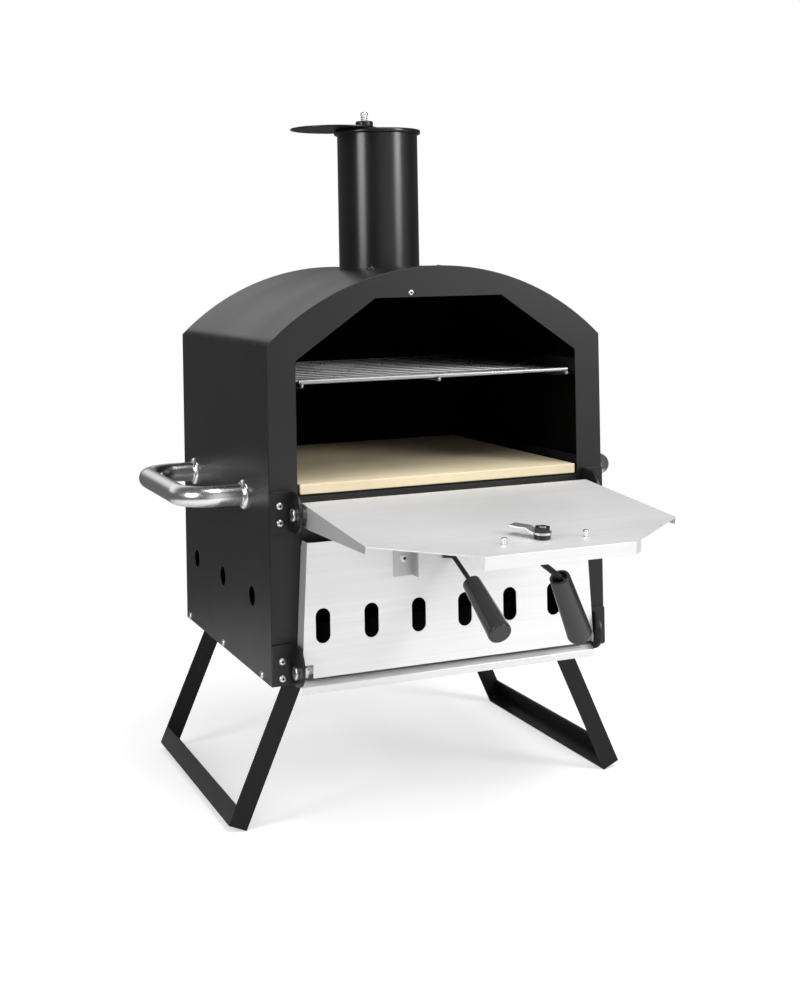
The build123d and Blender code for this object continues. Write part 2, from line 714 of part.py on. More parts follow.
with BuildPart() as door_catch:
    with BuildSketch(face_plane(-LOWER_FACE)):
        with Locations((-54, 119.5)):
            Rectangle(21, 39)
        with Locations((-53.4, 117.5)):
            Circle(2.2, mode=Mode.SUBTRACT)
    extrude(amount=SHEET)
    with BuildSketch(face_plane(-LOWER_FACE)):
        with Locations((-43.5 - SHEET / 2, 119.5)):
            Rectangle(SHEET, 39)
    extrude(amount=15)
door_catch.part.label = "door_catch"
export_step(door_catch.part, "parts/door_catch.step")

with BuildPart() as catch_screw:
    add(screw(front_at(-53.4, LOWER_FACE + SHEET, 117.5), 4.2, 2.2, 2.0, 2 * SHEET))
catch_screw.part.label = "catch_screw"
export_step(catch_screw.part, "parts/catch_screw.step")

with BuildPart() as lower_grip:
    add(grip(LOWER_GRIP_TOP, LOWER_GRIP_DIR, 72))
    with BuildSketch(Plane(origin=LOWER_GRIP_TOP, z_dir=LOWER_GRIP_DIR)):
        Circle(2.5)
    extrude(amount=40, mode=Mode.SUBTRACT)
lower_grip.part.label = "lower_grip"
export_step(lower_grip.part, "parts/lower_grip.step")

BAR_START = Vector(-11, yb(-LOWER_FACE - 2.4), BODY_Z + 116.5)
BAR_BEND = Vector(0, yb(-LOWER_FACE - 2.6), BODY_Z + 115)

with BuildPart() as lower_bar:
    with BuildLine() as lower_path:
        FilletPolyline(BAR_START, BAR_BEND, LOWER_GRIP_TOP, LOWER_GRIP_TOP + LOWER_GRIP_DIR * 34, radius=4)
    with BuildSketch(Plane(origin=lower_path.line @ 0, z_dir=lower_path.line % 0)):
        Circle(2.4)
    sweep(path=lower_path.line)
lower_bar.part.label = "lower_bar"
export_step(lower_bar.part, "parts/lower_bar.step")

# Side handles: bent tubes with plugged ends, cup flanges and bolts through the wall

WALL_X = BODY_W / 2

with BuildPart() as side_handle_left:
    with BuildLine() as bail:
        FilletPolyline(
            (-WALL_X - 1, yb(HANDLE_YB[0]), BODY_Z + HANDLE_Z),
            (-WALL_X - HANDLE_OUT, yb(HANDLE_YB[0]), BODY_Z + HANDLE_Z),
            (-WALL_X - HANDLE_OUT, yb(HANDLE_YB[1]), BODY_Z + HANDLE_Z),
            (-WALL_X - 1, yb(HANDLE_YB[1]), BODY_Z + HANDLE_Z),
            radius=35,
        )
    with BuildSketch(Plane(origin=bail.line @ 0, z_dir=bail.line % 0)):
        Circle(HANDLE_R)
        Circle(HANDLE_R - 1.2, mode=Mode.SUBTRACT)
    sweep(path=bail.line)
    with BuildSketch(side_plane(-WALL_X - 1)):
        with Locations(*HANDLE_ENDS):
            Circle(HANDLE_R - 1.0)
            Circle(3.05, mode=Mode.SUBTRACT)
    extrude(amount=-8)
side_handle_left.part.label = "side_handle_left"
export_step(side_handle_left.part, "parts/side_handle_left.step")

side_handle_right = side_handle_left.part.mirror(Plane.YZ)
side_handle_right.label = "side_handle_right"
export_step(side_handle_right, "parts/side_handle_right.step")

with BuildPart() as cups:
    with BuildSketch(side_plane(-WALL_X)):
        with Locations(*HANDLE_ENDS):
            Circle(15.2)
            Circle(HANDLE_R + 0.05, mode=Mode.SUBTRACT)
    extrude(amount=-4.5)
    fillet(cups.edges().group_by(Axis.X)[0].filter_by(lambda e: e.radius > 12), 2.0)

with BuildPart() as bolts:
    for depth, z in HANDLE_ENDS:
        inward = Plane(origin=(-WALL_X + SHEET, yb(depth), BODY_Z + z), x_dir=(0, 1, 0), z_dir=(1, 0, 0))
        with BuildSketch(inward):
            Circle(6)
        extrude(amount=3)
        with BuildSketch(inward):
            Circle(3)
        extrude(amount=-(SHEET + 8.5))

for node, left in (("handle_cups", cups.part), ("handle_bolts", bolts.part)):
    with BuildPart() as pair:
        add(left)
        add(left.mirror(Plane.YZ))
    pair.part.label = node
    export_step(pair.part, f"parts/{node}.step")

# Folding legs: two uprights joined by an angle foot, four brackets with stops, four pivots

SPLAY = radians(LEG_SPLAY)
LEG_DIR = Vector(-sin(SPLAY), 0, -cos(SPLAY))
LEG_OUT = Vector(-cos(SPLAY), 0, sin(SPLAY))


def leg_plane(depth):
    return Plane(origin=(-LEG_PIVOT_X, yb(depth), BODY_Z + LEG_PIVOT_Z), x_dir=LEG_DIR, z_dir=(0, 1, 0))


with BuildPart() as leg_frame_left:
    for depth in (LEG_FRONT_YB, LEG_REAR_YB - LEG_T):
        with BuildSketch(leg_plane(depth)):
            Circle(LEG_W / 2)
            with Locations((LEG_LEN / 2, 0)):
                Rectangle(LEG_LEN, LEG_W)
            Circle(PIN_R + 0.08, mode=Mode.SUBTRACT)
        extrude(amount=LEG_T)
    with BuildSketch(leg_plane(LEG_FRONT_YB)):
        with Locations((LEG_LEN - LEG_W / 2, LEG_W / 2 - LEG_T / 2)):
            Rectangle(LEG_W, LEG_T)
        with Locations((LEG_LEN - LEG_T / 2, 0)):
            Rectangle(LEG_T, LEG_W)
    extrude(amount=LEG_REAR_YB - LEG_FRONT_YB)
leg_frame_left.part.label = "leg_frame_left"
export_step(leg_frame_left.part, "parts/leg_frame_left.step")

leg_frame_right = leg_frame_left.part.mirror(Plane.YZ)
leg_frame_right.label = "leg_frame_right"
export_step(leg_frame_right, "parts/leg_frame_right.step")

STOP_R = 3.0
stop_at = LEG_OUT * (LEG_W / 2 + STOP_R + 0.05)

with BuildPart() as bracket_set:
    for plate_yb in (LEG_FRONT_YB - 3.0, LEG_REAR_YB - LEG_T - 3.0):
        with BuildSketch(face_plane(plate_yb)):
            with Locations((-LEG_PIVOT_X - 3, 10)):
                Rectangle(38, 20)
            with Locations((-LEG_PIVOT_X, LEG_PIVOT_Z)):
                Circle(PIN_R + 0.05, mode=Mode.SUBTRACT)
        extrude(amount=-2.5)
        with BuildSketch(floor_plane(17.5)):
            with Locations((-LEG_PIVOT_X - 3, plate_yb - 6.5)):
                Rectangle(38, 13)
        extrude(amount=2.5)
        with BuildSketch(face_plane(plate_yb)):
            with Locations((-LEG_PIVOT_X + stop_at.X, LEG_PIVOT_Z + stop_at.Z)):
                Circle(STOP_R)
        extrude(amount=-5.5)

with BuildPart() as pivot_set:
    for plate_yb in (LEG_FRONT_YB - 3.0, LEG_REAR_YB - LEG_T - 3.0):
        with BuildSketch(face_plane(plate_yb)):
            with Locations((-LEG_PIVOT_X, LEG_PIVOT_Z)):
                Circle(PIN_R)
        extrude(amount=-(3.0 + LEG_T + 3.4))
        with BuildSketch(face_plane(plate_yb)):
            with Locations((-LEG_PIVOT_X, LEG_PIVOT_Z)):
                Circle(5.4)
        extrude(amount=3.0)
        with BuildSketch(face_plane(plate_yb + 3.0 + LEG_T + 0.2)):
            with Locations((-LEG_PIVOT_X, LEG_PIVOT_Z)):
                RegularPolygon(5.4, 6)
        extrude(amount=-3.0)

for node, left in (("leg_brackets", bracket_set.part), ("leg_pivots", pivot_set.part)):
    with BuildPart() as pair:
        add(left)
        add(left.mirror(Plane.YZ))
    pair.part.label = node
    export_step(pair.part, f"parts/{node}.step")
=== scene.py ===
# %% [markdown]
# # A portable pizza oven, dressed over its CAD frame
# The CAD model gives every piece its size and its place, and this lesson gives the pieces their finish.
# A CAD node's object sits at the origin with its place in its mesh, and the pieces made here do the same.
# Lengths are in metres, the ground is z = 0 and the doors open towards -Y.

import json
from math import cos, pi, radians, sin, tan

import bmesh
import bpy
from mathutils import Matrix, Vector, noise

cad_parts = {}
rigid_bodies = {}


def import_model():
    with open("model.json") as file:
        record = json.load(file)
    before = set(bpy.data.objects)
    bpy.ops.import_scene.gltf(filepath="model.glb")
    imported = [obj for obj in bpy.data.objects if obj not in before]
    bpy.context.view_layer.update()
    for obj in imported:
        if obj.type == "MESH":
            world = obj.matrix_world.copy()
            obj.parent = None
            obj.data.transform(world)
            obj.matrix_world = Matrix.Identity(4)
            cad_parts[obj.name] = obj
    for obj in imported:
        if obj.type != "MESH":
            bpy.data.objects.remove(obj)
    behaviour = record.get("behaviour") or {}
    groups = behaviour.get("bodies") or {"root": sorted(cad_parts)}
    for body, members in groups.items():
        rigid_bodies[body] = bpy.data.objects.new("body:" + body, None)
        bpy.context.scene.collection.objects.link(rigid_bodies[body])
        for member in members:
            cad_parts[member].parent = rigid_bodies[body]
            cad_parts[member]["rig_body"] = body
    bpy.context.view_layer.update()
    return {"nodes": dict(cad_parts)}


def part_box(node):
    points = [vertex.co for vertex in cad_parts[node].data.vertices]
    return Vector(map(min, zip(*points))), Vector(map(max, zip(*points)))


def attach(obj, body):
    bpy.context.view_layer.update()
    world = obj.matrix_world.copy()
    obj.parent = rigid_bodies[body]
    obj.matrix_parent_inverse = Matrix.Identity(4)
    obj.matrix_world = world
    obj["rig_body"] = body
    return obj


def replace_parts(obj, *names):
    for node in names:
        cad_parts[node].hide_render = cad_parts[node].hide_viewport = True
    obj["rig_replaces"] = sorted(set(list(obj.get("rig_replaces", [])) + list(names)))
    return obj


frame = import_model()
MM = 0.001

# %% [markdown]
# ## Where the body stands
# The folded sheet body is the reference for everything else: its lower edge, its front plane and its walls.
# They could be typed in, but reading them from the CAD nodes' own boxes keeps this file true to the model.
# The upper door hangs open at a slight tilt, so its parts are placed along it (s), across it (x) and
# square to it (n), all counted in millimetres from its hinge line.

# %% Body and door planes
BODY_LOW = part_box("outer_shell")[0].z
BODY_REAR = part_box("rear_panel")[1].y
HALF_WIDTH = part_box("outer_shell")[1].x
SHEET = 1.2 * MM
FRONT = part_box("outer_shell")[0].y - SHEET
ACROSS, BACK, UP, FORWARD = (1, 0, 0), (0, 1, 0), (0, 0, 1), (0, -1, 0)
DOOR_TILT = radians(4.7)
HINGE_AHEAD, UPPER_HINGE_UP = 14.0, 168.5


def at(x, depth, height):
    """A point from millimetres: across, back from the front plane, and up from the body's lower edge."""
    return Vector((x * MM, FRONT + depth * MM, BODY_LOW + height * MM))


ALONG_DOOR = Vector((0.0, -cos(DOOR_TILT), -sin(DOOR_TILT)))
OFF_DOOR = Vector((0.0, -sin(DOOR_TILT), cos(DOOR_TILT)))


def on_door(x, s, n):
    """A point on the open upper door: across, out from its hinge line, and square above it."""
    return at(x, -HINGE_AHEAD, UPPER_HINGE_UP) + ALONG_DOOR * (s * MM) + OFF_DOOR * (n * MM)


print("front plane y", round(FRONT, 5), "rear", round(BODY_REAR, 5), "body lower edge z", round(BODY_LOW, 5))

# %% [markdown]
# ## Sums with node sockets
# A finish is a small sum of patterns. Blender writes it as boxes and wires, which are slow to read in code,
# so a socket is wrapped in a class that knows plus, minus and times. Each sum adds its own Math node.
# Every other kind of node comes from one method that first sets the node up and then fills its sockets.

# %% Wire


class Wire:
    def __init__(self, finish, socket):
        self.finish = finish
        self.socket = socket

    def math(self, operation, first, second):
        return self.finish.node("ShaderNodeMath", {"operation": operation}, {0: first, 1: second})

    def __add__(self, other):
        return self.math("ADD", self, other)

    def __radd__(self, other):
        return self.math("ADD", other, self)

    def __sub__(self, other):
        return self.math("SUBTRACT", self, other)

    def __rsub__(self, other):
        return self.math("SUBTRACT", other, self)

    def __mul__(self, other):
        return self.math("MULTIPLY", self, other)

    def __rmul__(self, other):
        return self.math("MULTIPLY", other, self)

    def __gt__(self, other):
        return self.math("GREATER_THAN", self, other)

    def __lt__(self, other):
        return self.math("LESS_THAN", self, other)

    def either(self, other):
        return self.math("MAXIMUM", self, other)

# %% [markdown]
# ## One class for a finish
# A material, and the sky too, is a node tree. The class below adds nodes to a tree and knows the few
# patterns that every finish here needs: noise that sits on the object, a remapped range, a blend of two
# colours, a bump, and a mask that is 1 along sharp edges, where hands and tools rub a finish first.

# %% Finish


class Finish:
    def __init__(self, name, tree=None):
        if tree is None:
            self.material = bpy.data.materials.new(name)
            self.material.use_nodes = True
            tree = self.material.node_tree
        self.tree = tree
        self.tree.nodes.clear()

    def node(self, kind, settings, sockets, out=0):
        made = self.tree.nodes.new(kind)
        for key, value in settings.items():
            setattr(made, key, value)
        for key, value in sockets.items():
            if isinstance(value, Wire):
                self.tree.links.new(value.socket, made.inputs[key])
            else:
                made.inputs[key].default_value = value
        return Wire(self, made.outputs[out])

    def other_output(self, wire, name):
        return Wire(self, wire.socket.node.outputs[name])

    def place(self, scale=(1, 1, 1)):
        """Object coordinates, stretched by the scale."""
        spot = self.node("ShaderNodeTexCoord", {}, {}, out="Object")
        return self.node("ShaderNodeMapping", {}, {"Vector": spot, "Scale": scale})

    def noise(self, where, scale, detail=3.0, roughness=0.5):
        sockets = {"Vector": where, "Scale": scale, "Detail": detail, "Roughness": roughness}
        return self.node("ShaderNodeTexNoise", {}, sockets)

    def range(self, wire, low, high, to_low, to_high, smooth=False):
        sockets = {"Value": wire, "From Min": low, "From Max": high, "To Min": to_low, "To Max": to_high}
        kind = {"interpolation_type": "SMOOTHSTEP"} if smooth else {}
        return self.node("ShaderNodeMapRange", kind, sockets)

    def tint(self, factor, first, second):
        first, second = ((*c, 1.0) if isinstance(c, tuple) else c for c in (first, second))
        return self.node("ShaderNodeMix", {"data_type": "RGBA"}, {0: factor, 6: first, 7: second}, out=2)

    def bump(self, height, strength, distance):
        sockets = {"Height": height, "Strength": strength, "Distance": distance}
        return self.node("ShaderNodeBump", {}, sockets)

    def dot(self, first, second):
        vectors = {0: first, 1: second}
        return self.node("ShaderNodeVectorMath", {"operation": "DOT_PRODUCT"}, vectors, out="Value")

    def edges(self, radius):
        """1 along sharp edges, 0 on flat ground: how far a rounded normal leans from the true one."""
        soft_way = self.node("ShaderNodeBevel", {"samples": 4}, {"Radius": radius})
        true_way = self.node("ShaderNodeNewGeometry", {}, {}, out="True Normal")
        return self.range(self.dot(soft_way, true_way), 0.995, 0.8, 0.0, 1.0)

    def surface(self, **sockets):
        named = {key.replace("_", " "): value for key, value in sockets.items()}
        return self.node("ShaderNodeBsdfPrincipled", {}, named)

    def done(self, shader, kind="ShaderNodeOutputMaterial"):
        out = self.tree.nodes.new(kind)
        self.tree.links.new(shader.socket, out.inputs["Surface"])
        return getattr(self, "material", None)


def shade(colour, factor):
    return tuple(channel * factor for channel in colour)

# %% [markdown]
# ## Black powder coat
# The body, legs and chimney are steel sheet under a baked, heat-proof powder coat. It is nearly black with a
# satin sheen and a fine orange-peel skin. A flat black would look like a hole, so the skin gets two sizes of
# grain in its bump, a slow drift in its roughness, and a thin rub along the edges where the coat wears. The
# rolled chimney took the coat more smoothly than the sheet, and the legs, sprayed apart, are duller.

# %% Powder coat
COAT = (0.0066, 0.0067, 0.0069)
COAT_RUBBED = (0.050, 0.050, 0.051)
SATIN_LOW, SATIN_HIGH = 0.33, 0.38
# How many times a metre each pattern repeats, about.
PEEL, GRAIN, DRIFT, WEAR = 900.0, 2600.0, 9.0, 60.0


def coat_skin(f, smoother=0.0, ior=1.45):
    spot = f.place()
    drift = f.noise(spot, DRIFT, 3.0)
    rub = f.edges(0.7 * MM) * f.range(f.noise(spot, WEAR, 4.0), 0.45, 0.64, 0.0, 1.0)
    colour = f.tint(rub * 0.5, f.tint(drift, COAT, shade(COAT, 1.3)), COAT_RUBBED)
    rough = f.range(drift, 0.3, 0.7, SATIN_LOW - smoother, SATIN_HIGH - smoother) - rub * 0.05
    skin = f.bump(f.noise(spot, PEEL, 2.0) * 0.7 + f.noise(spot, GRAIN, 1.0) * 0.3, 0.10, 0.2 * MM)
    return f.surface(Base_Color=colour, Roughness=rough, Normal=skin, IOR=ior)


def powder_coat(name, smoother=0.0, ior=1.45):
    f = Finish(name)
    return f.done(coat_skin(f, smoother, ior))


coated = powder_coat("satin_powder_coat")
tube_coated = powder_coat("smooth_chimney_coat", smoother=0.12, ior=1.50)
leg_coated = powder_coat("flat_leg_coat", ior=1.33)
print("made", coated.name, tube_coated.name, leg_coated.name)

# %% [markdown]
# ## Soot and painted shade inside the chamber
# The same sheets are dull and near black on their inner side: partly soot, and partly painted shade for the
# deep chamber. Two materials on one sheet would need its faces to be sorted, so one material asks where it
# is instead: inside a box of Object coordinates, and below the roof, which is an arc, so a second mask takes
# the distance from the arc's centre line.

# %% Sooty, shaded sheet
SOOT_AND_SHADE = (0.0020, 0.0018, 0.0017)
ARCH_RISE, WALL_HEIGHT = 76.0 * MM, 332.0 * MM
ARCH_RADIUS = (HALF_WIDTH**2 + ARCH_RISE**2) / (2 * ARCH_RISE)
ARCH_CENTRE = BODY_LOW + WALL_HEIGHT + ARCH_RISE - ARCH_RADIUS
OVER_THE_ROOF = 2.0
CHAMBER_LOW = (-HALF_WIDTH + 0.7 * MM, FRONT + 0.9 * MM, BODY_LOW + 0.9 * MM)
CHAMBER_HIGH = (HALF_WIDTH - 0.7 * MM, BODY_REAR - 0.7 * MM, OVER_THE_ROOF)


def inside_chamber(f):
    """1 between the walls and below the roof's arc, 0 elsewhere."""
    spot = f.node("ShaderNodeTexCoord", {}, {}, out="Object")
    split = f.node("ShaderNodeSeparateXYZ", {}, {"Vector": spot})
    across = f.node("ShaderNodeVectorMath", {"operation": "MULTIPLY"}, {0: spot, 1: (1, 0, 1)})
    ends = {0: across, 1: (0, 0, ARCH_CENTRE)}
    from_centre = f.node("ShaderNodeVectorMath", {"operation": "DISTANCE"}, ends, out="Value")
    within = from_centre < ARCH_RADIUS - SHEET / 2
    for axis, low, high in zip("XYZ", CHAMBER_LOW, CHAMBER_HIGH):
        along = f.other_output(split, axis)
        within = within * (along > low) * (along < high)
    return within


def soot_and_shade_coat(name):
    f = Finish(name)
    patch = f.noise(f.place(), 35.0, 5.0)
    crust = f.bump(f.noise(f.place(), 700.0, 4.0), 0.4, 0.4 * MM)
    # Near black, dull and barely reflective inside: soot, and painted shade for the deep chamber.
    colour = f.tint(patch, SOOT_AND_SHADE, shade(SOOT_AND_SHADE, 2.4))
    soot_and_shade = f.surface(Base_Color=colour, Roughness=0.96, Normal=crust, IOR=1.12)
    return f.done(f.node("ShaderNodeMixShader", {}, {0: inside_chamber(f), 1: coat_skin(f), 2: soot_and_shade}))


coated_with_soot_and_shade = soot_and_shade_coat("powder_coat_with_soot_and_painted_shade")
print("roof radius", round(ARCH_RADIUS, 4))

# %% [markdown]
# ## Brushed stainless
# The doors, sill and catch are cut from sheet that was brushed in one direction. The brush leaves hair-fine
# scratches, far longer than wide, so a noise is stretched a hundred times along the grain. The scratches
# spread the reflection so far that the sheet looks pale grey from every side, which a metal with a diffuse
# share shows, and the same noise tips the surface a little. The belt that brushes the flat sheet misses its
# folded flanks, so faces that look to the left or right keep a shinier, more metallic mill finish, and their
# colour is darkened as painted shade. The sill, the catch and the handle tube had finer belts, so each is
# glossier and more of a mirror.

# %% Brushed steel
DOOR_GREY = (0.905, 0.905, 0.91)
SILL_GREY = (0.80, 0.80, 0.80)
CATCH_GREY = (0.60, 0.60, 0.60)
TUBE_GREY = (0.86, 0.86, 0.85)
RUBBED_GREY = (0.9, 0.9, 0.9)
FLANK_PAINTED_SHADE, MILL_METAL, MILL_GLOSS = 0.62, 0.95, 0.12


def brushed_steel(name, along, colour, rough, metal, grain=0.05, flank=0.0):
    """Sheet brushed along an axis; flank makes sideways faces shinier, with painted shade in their colour."""
    f = Finish(name)
    hair = f.noise(f.place(tuple(12.0 if a else 1500.0 for a in along)), 1.0, 3.0, 0.6)
    streak = f.noise(f.place(tuple(4.0 if a else 260.0 for a in along)), 1.0, 2.0)
    haze = f.noise(f.place(), 6.0, 3.0)
    tone = f.range(streak * 0.6 + haze * 0.4, 0.35, 0.65, 0.0, 1.0)
    even = f.tint(tone, shade(colour, 0.965), shade(colour, 1.03))
    sheet = f.tint(f.edges(0.6 * MM) * 0.4, even, RUBBED_GREY)
    gloss = f.range(hair, 0.3, 0.7, rough - 0.05, rough + 0.07) + f.range(haze, 0.35, 0.7, -0.02, 0.04)
    # Faces that look left or right turn more metallic and glossier, and their colour is darkened: painted
    # shade.
    if flank:
        aside = f.dot(f.node("ShaderNodeNewGeometry", {}, {}, out="Normal"), ACROSS)
        side_facing = f.range(aside * aside, 0.5, 0.9, 0.0, flank)
        sheet = f.tint(side_facing, sheet, shade(colour, FLANK_PAINTED_SHADE))
        metal = metal + side_facing * (MILL_METAL - metal)
        gloss = gloss - side_facing * MILL_GLOSS
    scratches = f.bump(hair, grain, 0.12 * MM)
    return f.done(f.surface(Base_Color=sheet, Metallic=metal, Roughness=gloss, Normal=scratches))


# The door sheet's sideways faces carry painted shade in their colour.
door_steel = brushed_steel("brushed_door_sheet", ACROSS, DOOR_GREY, rough=0.48, metal=0.56, flank=0.5)
sill_steel = brushed_steel("brushed_sill_sheet", ACROSS, SILL_GREY, rough=0.38, metal=0.75)
catch_steel = brushed_steel("brushed_catch_sheet", UP, CATCH_GREY, rough=0.36, metal=0.9)
tube_steel = brushed_steel("satin_handle_tube", BACK, TUBE_GREY, rough=0.21, metal=1.0, grain=0.006)
print("made", door_steel.name, sill_steel.name, catch_steel.name, tube_steel.name)

# %% [markdown]
# ## Bright and blackened small parts
# Screws and wire are plated, so they are smoother and brighter than the brushed sheet, but the rack wire
# gets a darker grey, which is painted shade for its place inside the shaded chamber. The hub, the bars and
# the roof screws are blackened steel: dark, a little metallic, and rubbed bright on their corners.

# %% Plated and blackened steel
ZINC = (0.82, 0.82, 0.815)
RACK_PAINTED_SHADE_GREY = (0.34, 0.34, 0.34)
BRIGHT_CORNER = (0.85, 0.85, 0.85)
BLACKED_DARK, BLACKED_PALE = (0.010, 0.010, 0.0105), (0.020, 0.020, 0.021)
BARE_CORNER = (0.16, 0.16, 0.16)


def plated(name, colour, rough):
    f = Finish(name)
    cloud = f.noise(f.place(), 120.0, 3.0)
    plating = f.tint(cloud, shade(colour, 0.88), colour)
    tone = f.tint(f.edges(0.4 * MM) * 0.5, plating, BRIGHT_CORNER)
    gloss = f.range(cloud, 0.3, 0.7, rough - 0.04, rough + 0.08)
    skin = f.bump(cloud, 0.05, 0.2 * MM)
    return f.done(f.surface(Base_Color=tone, Metallic=1.0, Roughness=gloss, Normal=skin))


def blackened(name):
    f = Finish(name)
    cloud = f.noise(f.place(), 200.0, 3.0)
    dark = f.tint(cloud, BLACKED_DARK, BLACKED_PALE)
    tone = f.tint(f.edges(0.5 * MM) * 0.5, dark, BARE_CORNER)
    gloss = f.range(cloud, 0.3, 0.7, 0.28, 0.40)
    skin = f.bump(cloud, 0.08, 0.2 * MM)
    return f.done(f.surface(Base_Color=tone, Metallic=0.3, Roughness=gloss, Normal=skin))


screw_steel = plated("plated_screw_steel", ZINC, 0.27)
# The rack wire's dark grey is painted shade for its place inside the chamber.
shaded_wire_steel = plated("plated_rack_wire_painted_shade", RACK_PAINTED_SHADE_GREY, 0.30)
black_steel = blackened("blackened_steel")
print("made", screw_steel.name, shaded_wire_steel.name, black_steel.name)

# %% [markdown]
# ## The baking stone, the grips and the bare inner steel
# The stone is pressed from coarse grog, so its colour is a mix of cream grains and a few darker ones, with
# pores in its bump. The grips are satin moulded plastic with a spark-eroded texture. The shelf, ledges and
# tray are plain steel that heat has dulled.

# %% Stone, plastic and dull steel
CREAM_DARK, CREAM_PALE = (0.69, 0.588, 0.395), (0.745, 0.647, 0.447)
GROG, FLECK = (0.66, 0.51, 0.32), (0.46, 0.35, 0.24)
PLASTIC_DARK, PLASTIC_PALE = (0.014, 0.014, 0.0142), (0.022, 0.022, 0.0223)
SCALE_DARK, SCALE_PALE = (0.008, 0.007, 0.0065), (0.024, 0.021, 0.019)


def fired_stone(name):
    f = Finish(name)
    grains = f.noise(f.place(), 420.0, 4.0, 0.65)
    blotch = f.noise(f.place(), 14.0, 3.0)
    flecks = f.node("ShaderNodeTexVoronoi", {"feature": "F1"}, {"Vector": f.place(), "Scale": 330.0})
    cream = f.tint(f.range(blotch, 0.35, 0.65, 0.0, 1.0), CREAM_DARK, CREAM_PALE)
    speckled = f.tint(f.range(grains, 0.58, 0.76, 0.0, 0.5), cream, GROG)
    colour = f.tint(f.range(flecks, 0.0, 0.15, 0.3, 0.0), speckled, FLECK)
    pores = f.bump(grains * 0.6 + f.range(flecks, 0.0, 0.3, 0.0, 0.4), 0.45, 0.6 * MM)
    gloss = f.range(grains, 0.3, 0.7, 0.84, 0.95)
    return f.done(f.surface(Base_Color=colour, Roughness=gloss, Normal=pores, IOR=1.4))


def moulded_plastic(name):
    f = Finish(name)
    drift = f.noise(f.place(), 40.0, 2.0)
    colour = f.tint(drift, PLASTIC_DARK, PLASTIC_PALE)
    gloss = f.range(drift, 0.3, 0.7, 0.20, 0.27)
    spark = f.bump(f.noise(f.place(), 1800.0, 2.0), 0.08, 0.2 * MM)
    return f.done(f.surface(Base_Color=colour, Roughness=gloss, Normal=spark, IOR=1.58))


def dull_steel(name):
    f = Finish(name)
    scale = f.noise(f.place(), 55.0, 5.0, 0.6)
    colour = f.tint(scale, SCALE_DARK, SCALE_PALE)
    gloss = f.range(scale, 0.3, 0.7, 0.62, 0.82)
    skin = f.bump(scale, 0.2, 0.4 * MM)
    return f.done(f.surface(Base_Color=colour, Metallic=0.3, Roughness=gloss, Normal=skin))


stone_face = fired_stone("cordierite_stone")
grip_plastic = moulded_plastic("moulded_grip")
inner_steel = dull_steel("heat_dulled_steel")
print("made", stone_face.name, grip_plastic.name, inner_steel.name)

# %% [markdown]
# ## From mesh to piece
# Every piece made here ends the same way: its mesh becomes an object, takes a finish, and rides on the body
# of the CAD node that it stands for. Rounded edges only look right when the flats between them stay flat, so
# a
# Weighted Normal modifier lets the large faces steer the shading.

# %% A finished piece
CREASE = radians(50.0)
made_pieces = []


def finished(name, mesh, finish, nodes, second=None):
    """Turns a bmesh into the piece for these CAD nodes; a second finish paints shade into sunken faces."""
    data = bpy.data.meshes.new(name)
    mesh.to_mesh(data)
    mesh.free()
    data.materials.append(finish)
    if second:
        data.materials.append(second)
    data.shade_smooth()
    data.set_sharp_from_angle(angle=CREASE)
    piece = bpy.data.objects.new(name, data)
    bpy.context.scene.collection.objects.link(piece)
    piece.modifiers.new("flats_stay_flat", "WEIGHTED_NORMAL").keep_sharp = True
    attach(piece, frame["nodes"][nodes[0]]["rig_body"])
    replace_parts(piece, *nodes)
    made_pieces.append(piece)

# %% [markdown]
# ## Rounded sheet edges
# Cut and folded sheet never ends in a razor edge: a brake leaves a small radius and the coat builds up on
# it. A CAD node has sharp edges, and light passes them by. The helper below copies a node, merges its loose
# triangles, joins those that lie in one plane, and bevels what is left as a true edge. The bevel's two
# segments are enough to catch a thin line of light.

# %% Rounded copies of CAD nodes
CAD_SEAM = 0.004 * MM
ONE_PLANE = radians(0.4)


def merged_copy(node):
    mesh = bmesh.new()
    mesh.from_mesh(frame["nodes"][node].data)
    bmesh.ops.remove_doubles(mesh, verts=mesh.verts, dist=CAD_SEAM)
    bmesh.ops.dissolve_limit(mesh, angle_limit=ONE_PLANE, verts=mesh.verts, edges=mesh.edges)
    return mesh


def round_off(mesh, width, segments=2, corner=32.0, only=None):
    """Bevels the edges that turn by more than the corner's degrees, or only those whose ends pass a test."""
    edges = [e for e in mesh.edges if e.is_manifold and e.calc_face_angle() > radians(corner)]
    if only:
        edges = [e for e in edges if only(e.verts[0].co) and only(e.verts[1].co)]
    bmesh.ops.bevel(mesh, geom=edges, affect="EDGES", offset=width, offset_type="OFFSET",
                    segments=segments, profile=0.5, material=-1, loop_slide=True)
    return len(edges)


def rounded(node, finish, width=0.3 * MM, only=None):
    mesh = merged_copy(node)
    count = round_off(mesh, width, only=only)
    print(node, "edges rounded:", count, "faces:", len(mesh.faces))
    finished(node + "_rounded", mesh, finish, [node])

# %% [markdown]
# ## The body sheets
# The shell is one sheet bent over both walls and the roof, and a front panel closes it. Where the two meet,
# the real corner is a tight fold that draws one thin light line down the body, so the front panel's outline
# gets a wider bevel than its cut edges. The seam behind it stays sharp, or it would open into a groove.

# %% Shell, front, rear and base
FOLD_RADIUS, CUT_EDGE = 0.9 * MM, 0.25 * MM
NEAR, NEAR_ARC = 0.02 * MM, 0.1 * MM


